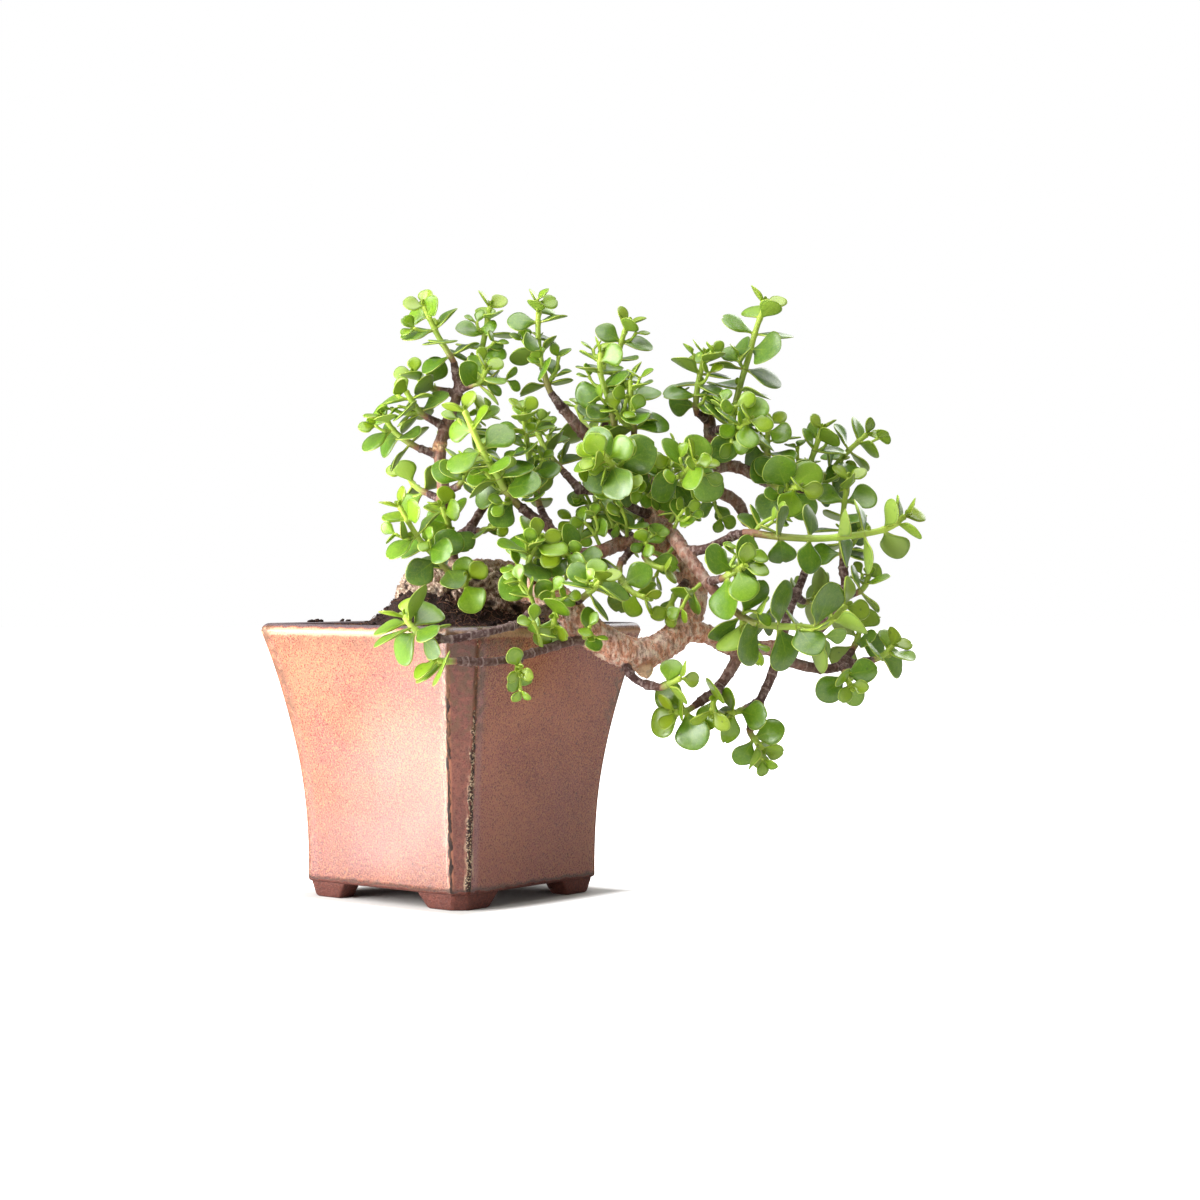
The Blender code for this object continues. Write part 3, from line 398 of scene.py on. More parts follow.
def closeRings(rings, loop=False, caps=False):
    # faces between rings of equally many points, and over both ends where they are capped
    count = len(rings[0])
    last = (len(rings) - 1) * count
    faces = []
    for k in range(len(rings) if loop else len(rings) - 1):
        low, high = k * count, (k + 1) % len(rings) * count
        for i in range(count):
            j = (i + 1) % count
            faces.append((low + i, low + j, high + j, high + i))
    return faces + ([tuple(reversed(range(count))), tuple(range(last, last + count))] if caps else [])


def footRing(quarter, z):
    # L-shaped outline of a corner foot at height z, its ends leaning in and its corners eased
    f, look = potForm, potLook
    down = 1 - min(z / f["footHeight"], 1.0)
    ease = look["footEase"] * max(0.0, 1 - z / look["footEaseHigh"]) ** 2
    outer = f["bodyHalf"] - f["footSetBack"] - f["footDraft"] * down - ease
    slant = f["footSlant"] * down ** look["footCurve"]
    end = f["bodyHalf"] - f["footSetBack"] - f["footLength"] + slant + ease
    inner = f["bodyHalf"] - f["footSetBack"] - f["footWidth"] + ease
    bevel = outer - f["cutFoot"]
    corners = [(outer, end), (outer, bevel), (bevel, outer), (end, outer), (end, inner), (inner, inner)]
    corners = [Vector((*corner, z)) for corner in corners + [(inner, end)]]
    points = []
    for i, here in enumerate(corners):
        before, after = corners[i - 1], corners[(i + 1) % len(corners)]
        room = min(look["footBend"], (here - before).length * 0.4, (after - here).length * 0.4)
        start, stop = here + (before - here).normalized() * room, here + (after - here).normalized() * room
        for t in (0, 1 / 3, 2 / 3, 1):
            points.append(quarterTurn(quarter) @ start.lerp(here, t).lerp(here.lerp(stop, t), t))
        for t in (1 / 3, 2 / 3):
            points.append(quarterTurn(quarter) @ stop.lerp(after + (here - after).normalized() * room, t))
    return points


def makeGlaze():
    # copper pink glaze over red clay: sandy speckle, dark breaks on the ridges, bare clay below
    look = potLook
    material, shader, where = newMaterial("copperGlaze", Coat_Roughness=0.2, Specular_IOR_Level=0.35)
    ridge, height, share = mark(where, "potSpot")  # in millimetres, and the share along
    colour = Coats(look, "glaze")
    colour.lay(blotchMask(where, 46.0, 0.5, 0.3), "glazePale")
    colour.lay(times(blotchMask(where, 30.0, 0.42, 0.2), 0.45), "glazeViolet")

    fine = grainMask(where, 0.8, 3.0)
    coarse = grainMask(where, 2.4, 1.8)
    colour.lay(fade(fine, 0.55, 0.95, 0.0, 0.85), "sand")
    colour.lay(fade(fine, 0.42, 0.1, 0.0, 0.7), "dusk")
    colour.lay(fade(coarse, 0.6, 1.0, 0.0, 0.25), "sand")
    colour.lay(times(speckMask(where, 2.2, 0.10, 0.10), 0.6), "breakLine")
    colour.lay(fade(height, 95.0, 15.0, 0.0, 0.35), "dusk")

    # each ridge has a thin dark line with cream on its left, partly a painted highlight, and a crumbly dark
    # crust on its right with a painted grey-violet sheen beside it
    ragged = grainMask(where, 5.0, 2.4)
    crumbs = grainMask(where, 0.9, 3.4)
    streaks = grainMask(stretch(where, (1.0, 1.0, 0.16)), 1.1, 3.0)
    away = calc("ABSOLUTE", ridge)
    nearRidge = fade(away, 1.9, 0.8)
    depth = put(where.id_data, "SeparateXYZ", {0: where}).outputs[1]
    worn = fade(depth, -0.02, -0.07, 0.3, 1.0)  # the front corner most
    left = times(fade(share, -0.25, 0.25), worn)
    right = times(fade(share, 0.25, -0.25), worn)
    # the cut corners are painted darker, as the shade on them, with paler runs through it
    inCutShade = Coats(look, "cutShade")
    inCutShade.lay(fade(coarse, 0.2, 0.8), "cutPale")
    colour.lay(times(fade(ridge, -0.1, -0.9, 0.0, 0.8), worn), inCutShade.made)
    colour.lay(times(fade(away, 2.0, 0.7), left, 0.55), "ridgeTan")
    # the cream on the left of each ridge is partly thin glaze and partly a painted highlight of the rounded
    # corner
    pale = times(fade(ridge, 6.5, 2.0), fade(ridge, 0.5, 1.6), left)
    colour.lay(times(pale, fade(streaks, 0.2, 0.8, 0.0, 0.25)), "cream")
    # a grey-violet sheen painted beside the right of each ridge, standing for a reflection
    colour.lay(times(fade(calc("ABSOLUTE", minus(ridge, 4.2)), 4.0, 0.0), right, 0.40), "sheen")
    wander = calc("ABSOLUTE", plus(ridge, fade(ragged, 0.0, 1.0, -0.9, 0.5)))
    thin = times(fade(wander, 1.25, 0.75), fade(streaks, 0.15, 0.5, 0.6, 1.0), worn)
    thin = times(thin, fade(height, 128.0, 105.0, 0.25, 1.0))
    band = plus(fade(height, 116.0, 66.0, 0.0, 1.5), fade(ragged, 0.0, 1.0, -0.8, 0.7))
    pastBand = minus(away, band)
    crusted = times(fade(pastBand, 0.3, -0.3), right)
    fringe = times(fade(pastBand, 1.6, 0.2), times(right, fade(height, 120.0, 35.0)))
    colour.lay(times(fringe, fade(streaks, 0.45, 0.75, 0.0, 0.35)), "cream")
    line = larger(thin, times(crusted, fade(crumbs, 0.15, 0.45, 0.45, 1.0)))
    colour.lay(line, "breakLine")
    colour.lay(times(crusted, fade(crumbs, 0.60, 0.78, 0.0, 0.6)), "cream")

    # the rim's top edge with a painted grey reflection, a pale band under it that is partly a painted
    # highlight of the lip, and brown wear just under it
    lipEdge = plus(height, fade(ragged, 0.0, 1.0, -0.35, 0.35))
    # painted reflection of the surroundings on the rim's top edge
    colour.lay(times(fade(lipEdge, 139.2, 140.2), 0.85), "rimReflection")
    # a pale cream band under the lip, partly thin glaze and partly a painted highlight of its rounded edge
    colour.lay(times(fade(lipEdge, 134.6, 136.4), fade(lipEdge, 139.8, 138.6), 0.38), "cream")
    wornBand = times(fade(height, 125.0, 131.0), fade(height, 136.0, 133.0), 0.7)
    sideways = times(fade(away, 12.0, 3.0), fade(height, 74.0, 100.0))
    wear = times(blotchMask(where, 4.0, 0.5, 0.1), larger(wornBand, sideways))
    colour.lay(times(wear, 0.8), "wearBrown")

    # bare clay below the glaze's lower edge, which has a dark line of its own
    edge = plus(height, fade(ragged, 0.0, 1.0, -0.7, 0.7))
    bare = fade(edge, 9.7, 9.1)
    clay = Coats(look, "clayDark")
    clay.lay(grainMask(where, 1.3, 2.0), "clay")
    colour.lay(times(fade(edge, 12.2, 9.8), minus(1.0, bare), 0.75), "breakLine")
    colour.lay(bare, clay.made)

    rough = plus(fade(fine, 0.0, 1.0, 0.26, 0.40), times(line, 0.3))
    rough = plus(rough, times(nearRidge, 0.3), clamp=True)
    rough = plus(rough, times(bare, 0.32), clamp=True)
    matt = larger(bare, times(nearRidge, fade(height, 134.0, 128.0, 0.0, 0.9)))
    connect(shader, {"Coat Weight": minus(0.7, times(matt, 0.7), clamp=True)})
    grit = plus(times(crumbs, plus(line, bare)), times(fine, 0.25))
    dress(shader, colour.made, rough, (coarse, 0.00012), (grit, 0.00016))
    return material


def makePot():
    look = potLook
    foot, rim, lip, lipEdge, wall, floorTop, drain = (
        potForm[key]
        for key in ("footHeight", "rimHeight", "lipRound", "lipEdge", "wall", "floorTop", "drainRadius")
    )
    rings, marks = [], []
    bottom, bottomMarks = finePotRing(foot, look["lowEdgeIn"], 0.0)
    plain = [look["unglazed"]] * len(bottom)

    def keep(ring, spots):
        rings.append(ring)
        marks.extend(spots)

    keep(circleRing(foot + look["holeEdge"], drain, bottom), plain)
    holeRing = circleRing(foot, drain + look["holeEdge"], bottom)
    for i in range(look["undersideSpans"] + 1):
        keep(blended(holeRing, bottom, i / (look["undersideSpans"] + 1)), plain)
    keep(bottom, [(ridge, look["lowEdgeMark"], share) for ridge, _, share in bottomMarks])
    keep(*finePotRing(foot + look["lowEdgeMid"], look["lowEdgeMid"], 0.3))
    body = rim - lip - foot - look["lowEdgeHigh"]
    for i in range(look["wallSpans"] + 1):
        keep(*finePotRing(foot + look["lowEdgeHigh"] + body * i / look["wallSpans"]))
    for i in range(1, look["lipSpans"] + 1):
        angle = math.pi / 2 * i / look["lipSpans"]
        keep(*finePotRing(rim - lip * (1 - math.sin(angle)), lip * (1 - math.cos(angle)), math.cos(angle)))
    keep(*finePotRing(rim - look["lipDip"], (lip + wall - lipEdge) / 2, 0.0))  # the flat top sinks a little
    for i in range(look["edgeSpans"] + 1):
        angle = math.pi / 2 * i / look["edgeSpans"]
        keep(*finePotRing(rim - lipEdge * (1 - math.cos(angle)), wall - lipEdge * (1 - math.sin(angle)), 0.0))
    inner = rim - lipEdge - floorTop
    for i in range(1, look["innerSpans"] + 1):
        ring, spots = finePotRing(rim - lipEdge - inner * i / look["innerSpans"], wall, 0.0)
        high = spots[0][1] > look["insideTop"]  # the glaze ends inside, below the rim
        glazed = min(spots[0][1], look["insideGlaze"]) if high else look["unglazed"][1]
        keep(ring, [(look["unglazed"][0], glazed, share) for _, _, share in spots])
    floorEdge = rings[-1]
    for share in look["floorShares"]:
        keep(blended(floorEdge, circleRing(floorTop, drain, floorEdge), share), plain)
    points, faces = joined(rings), closeRings(rings, loop=True)
    for quarter in range(4):
        stack = [footRing(quarter, z) for z in (*look["footLevels"], foot + potForm["footSink"])]
        faces += shifted(closeRings(stack, caps=True), len(points))
        points += joined(stack)
        marks += [look["footMark"]] * (len(points) - len(marks))
    makePiece("glazedPot", points, faces, [makeGlaze()], "pot", {"potSpot": marks})


def dressScreen():
    # the drainage screen stays as packed and gets its moulded plastic
    material, shader, where = newMaterial("blackPlasticMesh", Specular_IOR_Level=0.4)
    matt = grainMask(where, 0.4, 1.5)
    colour = Coats(potLook, "plastic")
    colour.lay(blotchMask(where, 5.0, 0.45, 0.2), "scuffed")
    dress(shader, colour.made, fade(matt, 0.0, 1.0, 0.42, 0.62), (matt, 0.00005))
    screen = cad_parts["drainage_screen"]
    screen.data.materials.clear()
    screen.data.materials.append(material)


makePot()
dressScreen()
print("stage 2: glazed pot and drainage screen")

# Floor, light and camera

stageLook = dict(
    floorHalf=6.0,
    floorColour=tint(212, 210, 207),
    dust=0.985,  # how dark the paper's faint grain is
    backdrop=1.0,  # how bright the surroundings look
    surroundings=0.30,  # how much light they give
    glowStart=0.45, glowEnd=1.6, glow=1.0,  # the paper turns as bright as the backdrop further out
    nearStart=0.002, nearEnd=0.024, nearGlow=1.4,  # and is overexposed outside the pot's own contact shadow
    sunlitAt=(-0.208, -0.106, 0.0), sunlitNear=0.03, sunlitFar=0.135, sunlit=8.6,  # the left face mirrors it
    cameraBack=1.330, cameraHeight=0.169, lens=76.47, sensor=36.0,  # the last two in millimetres
    aimRight=math.radians(3.323), aimDown=math.radians(0.697),
    lamps={  # place, aimed at, size, watts, spread in degrees
        "leftSoftbox": ((-1.25, -0.46, 0.42), (0.0, 0.0, 0.22), (0.95, 0.62), 4.0, 180),
        "lowSoftbox": ((-0.52, -0.26, 0.165), (0.0, -0.02, 0.06), (0.5, 0.32), 1.85, 90),
        "keySoftbox": ((-1.00, -0.50, 1.15), (0.05, 0.0, 0.16), (0.8, 0.8), 18.0, 180),
        "topSoftbox": ((0.10, -0.05, 1.40), (0.05, 0.0, 0.12), (1.4, 1.2), 17.0, 180),
        "floorBounce": ((0.17, -0.17, 0.01), (0.06, 0.0, 0.15), (0.26, 0.20), 0.07, 180),
        "backSoftbox": ((0.9, 1.25, 0.9), (0.0, 0.0, 0.12), (1.0, 1.0), 10.0, 180),
    },
)


def makePaper():
    look = stageLook
    material, shader, where = newMaterial("palePaper", Specular_IOR_Level=0.1, Emission_Strength=1.0)
    tree = where.id_data
    paper = grainMask(where, 6.0, 0.5)
    colour = Coats(look, "floorColour")
    colour.lay(paper, tuple(look["dust"] * c for c in look["floorColour"][:3]) + (1.0,))
    dress(shader, colour.made, fade(paper, 0.0, 1.0, 0.85, 0.95))
    reach = put(tree, "VectorMath", {0: where}, operation="LENGTH").outputs["Value"]
    glow = fade(reach, look["glowStart"], look["glowEnd"], 0.0, look["glow"])
    inputs = {"Vector": where, "Angle": -potForm["turn"]}
    turned = put(tree, "VectorRotate", inputs, rotation_type="Z_AXIS").outputs[0]
    sides = put(tree, "VectorMath", {0: turned}, operation="ABSOLUTE").outputs[0]
    sides = put(tree, "SeparateXYZ", {0: sides}).outputs
    outside = minus(larger(sides[0], sides[1]), potForm["bodyHalf"])
    near = fade(outside, look["nearStart"], look["nearEnd"], 0.0, look["nearGlow"])
    # painted light: seen by the camera the paper glows white over its shadows outside the pot's contact
    # shadow, and a glowing spot on the left, seen by every ray, lights the pot's left face and shows in it as
    # a highlight
    seen = times(larger(glow, near), put(tree, "LightPath").outputs["Is Camera Ray"])
    toSpot = put(tree, "VectorMath", {0: where, 1: look["sunlitAt"]}, operation="DISTANCE").outputs["Value"]
    spot = fade(toSpot, look["sunlitFar"], look["sunlitNear"], 0.0, look["sunlit"])
    connect(shader, {"Emission Color": larger(seen, spot)})
    return material


def makeStage():
    half = stageLook["floorHalf"]
    mesh = bpy.data.meshes.new("studioFloor")
    corners = [(-half, -half, 0), (half, -half, 0), (half, half, 0), (-half, half, 0)]
    mesh.from_pydata(corners, [], [(0, 1, 2, 3)])
    mesh.materials.append(makePaper())
    floor = link(bpy.data.objects.new("studioFloor", mesh))
    floor.location = home

    world = bpy.data.worlds.new("studioWhite")
    world.use_nodes = True
    looking = put(world.node_tree, "LightPath").outputs["Is Camera Ray"]
    strength = fade(looking, 0.0, 1.0, stageLook["surroundings"], stageLook["backdrop"])
    background = world.node_tree.nodes["Background"]
    connect(background, {"Color": (1.0, 1.0, 1.0, 1.0), "Strength": strength})
    bpy.context.scene.world = world
    for name, (at, aim, size, watts, spread) in stageLook["lamps"].items():
        light = bpy.data.lights.new(name, "AREA")
        light.shape = "RECTANGLE"
        light.size, light.size_y = size
        light.energy = watts
        light.spread = math.radians(spread)
        lamp = link(bpy.data.objects.new(name, light))
        lamp.location = home + Vector(at)
        lamp.rotation_euler = (Vector(aim) - Vector(at)).to_track_quat("-Z", "Y").to_euler()


def makeCamera():
    look = stageLook
    camera = link(bpy.data.objects.new("photoCamera", bpy.data.cameras.new("photoCamera")))
    camera.data.lens = look["lens"]
    camera.data.sensor_width = look["sensor"]
    camera.location = home + Vector((0.0, -look["cameraBack"], look["cameraHeight"]))
    camera.rotation_euler = (math.pi / 2 - look["aimDown"], 0.0, -look["aimRight"])
    bpy.context.scene.camera = camera
    bpy.context.scene.view_settings.view_transform = "Standard"


makeStage()
makeCamera()
print("stage 3: floor, light and camera")

# Soil

rootForm = dict(
    centre=Vector((0.009, 0.0, 0.0)), long=0.040, deep=0.018, sides=12,
    levels=((0.124, 0.99), (0.150, 1.0), (0.158, 0.96), (0.165, 0.86), (0.1705, 0.66), (0.173, 0.4)),
    lumps=((0.05, 3, 0.6), (0.035, 5, 2.1)),  # how far they swell, how many, and their first turn
)
soilForm = dict(
    edge=0.1355, heapLeft=0.021, heapRight=0.009, heapReach=0.017, heapCore=0.8, fallStart=0.004,
    fallLength=0.034, spans=3, shares=(0.84, 0.68, 0.52, 0.36, 0.2), screenThick=0.0012,
)
soilForm["gap"] = potForm["wall"] + potForm["clear"]
soilForm["bottom"] = potForm["floorTop"] + potForm["clear"] + soilForm["screenThick"] + potForm["clear"]
soilLook = dict(
    rings=74, wallRings=8, spans=(52, 8), lumps=0.0011, lumpGrain=160, grit=0.0005, gritGrain=900,
    edgeDrop=0.0004,  # the side ends this far below the soil's edge
    crumbs=1500, crumbSizes=(0.0004, 0.0016), crumbSpread=0.1, crumbRoom=0.0006, crumbOut=0.25,
    fibres=300, fibreReach=(0.005, 0.016), fibreThick=(0.00009, 0.00020), fibreSpread=0.085,
    fibreHeap=((0.020, 0.026), (-0.030, 0.014)),  # middle and spread of where half of them lie
    fibreSteps=9, curl=(0.45, 0.45, 0.35), arch=0.0012, dip=0.0004, dipMost=0.0003, pull=0.6,
    fibreRoom=(0.010, 0.001),  # from the wall, where one starts and anywhere on its way
    fibreSink=0.0003, fibreTaper=0.4, soilReach=0.09,
    clumps=(  # crumbs on the rim: where, and how many
        (-0.0795, 0.0235, 0.1418, 9), (-0.0735, 0.0300, 0.1416, 5), (0.0830, 0.0275, 0.1418, 7),
        (-0.060, 0.0455, 0.1415, 3), (0.030, 0.074, 0.1413, 3),
    ),
    clumpSizes=(0.0006, 0.0021), clumpSpread=(0.0030, 0.0014), clumpSink=0.0012, clumpOut=0.35,
    lipMiddle=0.55,
    dark=tint(34, 25, 23), brown=tint(66, 46, 41), fibre=tint(104, 68, 52), paleFibre=tint(146, 108, 78),
)


def soilHeight(x, y):
    # a heap round the root base that falls to the pot's edge
    s = soilForm
    dx = max(abs(x - rootForm["centre"].x) - rootForm["long"] * s["heapCore"], 0.0)
    dy = max(abs(y) - rootForm["deep"] * s["heapCore"], 0.0)
    right = clamped((x - s["fallStart"]) / s["fallLength"])
    heap = s["heapLeft"] + (s["heapRight"] - s["heapLeft"]) * right * right * (3 - 2 * right)
    return s["edge"] + heap * math.exp(-((math.hypot(dx, dy) / s["heapReach"]) ** 1.5))


def plainSoilRings():
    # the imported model's soil, which the leaves were grown clear of
    s = soilForm
    levels = [z for z in wallLevels()[1:-1] if z > s["bottom"] + potForm["levelRoom"]]
    rings = [outerRing(z, s["gap"], s["spans"]) for z in [s["bottom"]] + levels]
    edge = outerRing(s["edge"], s["gap"] + potForm["clear"], s["spans"])
    rings.append(edge)
    for share in s["shares"]:
        rings.append([Vector((p.x * share, p.y * share, soilHeight(p.x * share, p.y * share))) for p in edge])
    return rings


def soilTop(x, y):
    # the heap with its lumps and hollows
    here = Vector((x, y, 0))
    lumps = noise.fractal(here * soilLook["lumpGrain"], 0.6, 2.1, 3) * soilLook["lumps"]
    grit = noise.noise(here * soilLook["gritGrain"]) * soilLook["grit"]
    return soilHeight(x, y) + lumps + grit


def crumbShape(centre, size, draw):
    # a small broken lump of soil: an eight-sided pebble with pushed corners, its faces cut once more
    turn = draw.uniform(0, 6.28)
    spin = Matrix.Rotation(turn, 3, Vector([draw.uniform(-1, 1) for _ in range(3)]).normalized())
    ends = [Vector(d) for d in ((1, 0, 0), (0, 1, 0), (-1, 0, 0), (0, -1, 0), (0, 0, 1), (0, 0, -1))]
    squash = Vector((1.0, draw.uniform(0.6, 1.0), draw.uniform(0.5, 0.9)))
    points = [d * draw.uniform(0.75, 1.2) for d in ends]
    faces = []
    edges = {}

    def middle(a, b):
        key = (min(a, b), max(a, b))
        if key not in edges:
            edges[key] = len(points)
            points.append((ends[a] + ends[b]).normalized() * draw.uniform(0.7, 1.1))
        return edges[key]

    for i in range(4):
        for tip in (4, 5):
            a, b = (i, (i + 1) % 4) if tip == 4 else ((i + 1) % 4, i)
            ab, bt, ta = middle(a, b), middle(b, tip), middle(tip, a)
            faces += [(a, ab, ta), (ab, b, bt), (ta, bt, tip), (ab, bt, ta)]
    return [centre + spin @ Vector(p * s for p, s in zip(q, squash)) * size for q in points], faces


def closedLoft(rings):
    return joined(rings), closeRings(rings, caps=True)


def threadShape(path, radii, sides=5):
    # a closed round thread along a path of points
    rings = []
    across = Vector((0.3, 0.5, 0.8))
    turns = [2 * math.pi * k / sides for k in range(sides)]
    for i, p in enumerate(path):
        ahead = (path[min(i + 1, len(path) - 1)] - path[max(i - 1, 0)]).normalized()
        across = (across - ahead * across.dot(ahead)).normalized()
        other = ahead.cross(across)
        rings.append([p + (across * math.cos(a) + other * math.sin(a)) * radii[i] for a in turns])
    return closedLoft(rings)


def curlyPath(start, heading, reach, draw):
    # a root hair's way: it wanders, stays near the soil and dips in at its end
    look, path, here = soilLook, [start], start.copy()
    steps = look["fibreSteps"]
    for step in range(1, steps + 1):
        heading = (heading + Vector([draw.gauss(0, spread) for spread in look["curl"]])).normalized()
        here = here + heading * reach / steps
        inside = max(abs(here.x), abs(here.y)) < look["soilReach"]
        floor = soilTop(here.x, here.y) if inside else here.z
        lift = look["arch"] * math.sin(math.pi * step / steps) - look["dip"]
        here.z = here.z * (1 - look["pull"]) + (floor + max(lift, -look["dipMost"])) * look["pull"]
        path.append(here.copy())
    return path


def inSoil(x, y, margin=0.0):
    # whether a place lies inside the pot's wall at the soil's edge
    half, cut = outlineAt(soilForm["edge"], potForm["wall"] + margin)
    p = quarterTurn(0).inverted() @ Vector((x, y, 0))
    return max(abs(p.x), abs(p.y)) < half and abs(p.x) + abs(p.y) < 2 * half - cut


def ontoLip(at):
    # a crumb on the rim is pulled to the lip's flat top
    half, _ = outlineAt(potForm["rimHeight"], potForm["wall"] * soilLook["lipMiddle"])
    own = quarterTurn(0).inverted() @ Vector((at.x, at.y, 0))
    scale = half / max(abs(own.x), abs(own.y))
    return Vector((at.x * scale, at.y * scale, at.z))


def makeSoilMaterials():
    look = soilLook
    soil, shader, where = newMaterial("dampSoil", Specular_IOR_Level=0.25)
    patch = blotchMask(where, 6.0, 0.45, 0.3)
    fine = grainMask(where, 0.7, 2.4)
    colour = Coats(look, "dark")
    colour.lay(times(patch, 0.7), "brown")
    colour.lay(fade(fine, 0.6, 1.0, 0.0, 0.6), "fibre")
    colour.lay(times(speckMask(where, 2.2, 0.10, 0.1), 0.6), "paleFibre")
    dress(shader, colour.made, fade(fine, 0.0, 1.0, 0.75, 0.98), (patch, 0.0004), (fine, 0.0003))
    hair, shader, where = newMaterial("rootFibre", Specular_IOR_Level=0.3)
    fine = grainMask(where, 0.3, 2.0)
    colour = Coats(look, "fibre")
    colour.lay(blotchMask(where, 3.5, 0.35, 0.4), "paleFibre")
    colour.lay(fade(fine, 0.5, 0.0, 0.0, 0.6), "brown")
    dress(shader, colour.made, fade(fine, 0.0, 1.0, 0.6, 0.9), (fine, 0.00006))
    return [soil, hair]


def soilRings():
    # the soil's side as far as its edge, then its lumpy top, ring inside ring
    s, look = soilForm, soilLook
    rings = []
    for i in range(look["wallRings"] + 1):
        z = s["bottom"] + (s["edge"] - look["edgeDrop"] - s["bottom"]) * i / look["wallRings"]
        outline = softOutline(*outlineAt(z, s["gap"]), look["spans"])
        rings.append([Vector((p.x, p.y, z)) for p, _, _ in outline])
    edge = rings[-1]
    for i in range(look["rings"]):
        share, lift = 1 - (i + 0.25) / look["rings"], min(i / 2, 1.0)
        ring = []
        for x, y in ((p.x * share, p.y * share) for p in edge):
            ring.append(Vector((x, y, soilTop(x, y) * lift + soilHeight(x, y) * (1 - lift))))
        rings.append(ring)
    return rings


def makeSoil():
    look = soilLook
    points, faces = closedLoft(soilRings())
    kinds = [0] * len(faces)

    def add(shape, kind):
        faces.extend(shifted(shape[1], len(points)))
        points.extend(shape[0])
        kinds.extend([kind] * len(shape[1]))

    draw = random.Random("soil crumbs")
    laid = 0
    while laid < look["crumbs"]:
        x, y = (draw.uniform(-look["crumbSpread"], look["crumbSpread"]) for _ in "xy")
        size = between(*look["crumbSizes"], draw.random() ** 2.5)
        if inSoil(x, y, size + look["crumbRoom"]):
            add(crumbShape(Vector((x, y, soilTop(x, y) + size * look["crumbOut"])), size, draw), 0)
            laid += 1
    draw = random.Random("crumbs on the rim")
    for x, y, z, number in look["clumps"]:
        for _ in range(number):
            size = draw.uniform(*look["clumpSizes"])
            aside, back = (draw.gauss(0, spread) for spread in look["clumpSpread"])
            at = Vector((x + aside, y + back, z - look["clumpSink"] + size * look["clumpOut"]))
            add(crumbShape(ontoLip(at), size, draw), 0)
    draw = random.Random("root fibres")
    laid = 0
    while laid < look["fibres"]:
        if laid % 2:
            x, y = (draw.gauss(*heap) for heap in look["fibreHeap"])
        else:
            x, y = (draw.uniform(-look["fibreSpread"], look["fibreSpread"]) for _ in "xy")
        reach = draw.uniform(*look["fibreReach"])
        if not inSoil(x, y, look["fibreRoom"][0]):
            continue
        start = Vector((x, y, soilTop(x, y) - look["fibreSink"]))
        heading = Vector((draw.uniform(-1, 1), draw.uniform(-1, 1), 0.3)).normalized()
        path = curlyPath(start, heading, reach, draw)
        if all(inSoil(p.x, p.y, look["fibreRoom"][1]) for p in path):
            thick, count = draw.uniform(*look["fibreThick"]), len(path)
            add(threadShape(path, [thick * (1 - look["fibreTaper"] * i / count) for i in range(count)]), 1)
            laid += 1
    makePiece("pottingSoil", points, faces, makeSoilMaterials(), "soil", kinds=kinds)


makeSoil()
print("stage 4: soil with its crumbs and root fibres")

# How the plant grew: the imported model's own routes and growth rule, so that each finer stem and leaf
# stands where its plain one does. Routes are (across, depth, up) in millimetres as seen from the front.

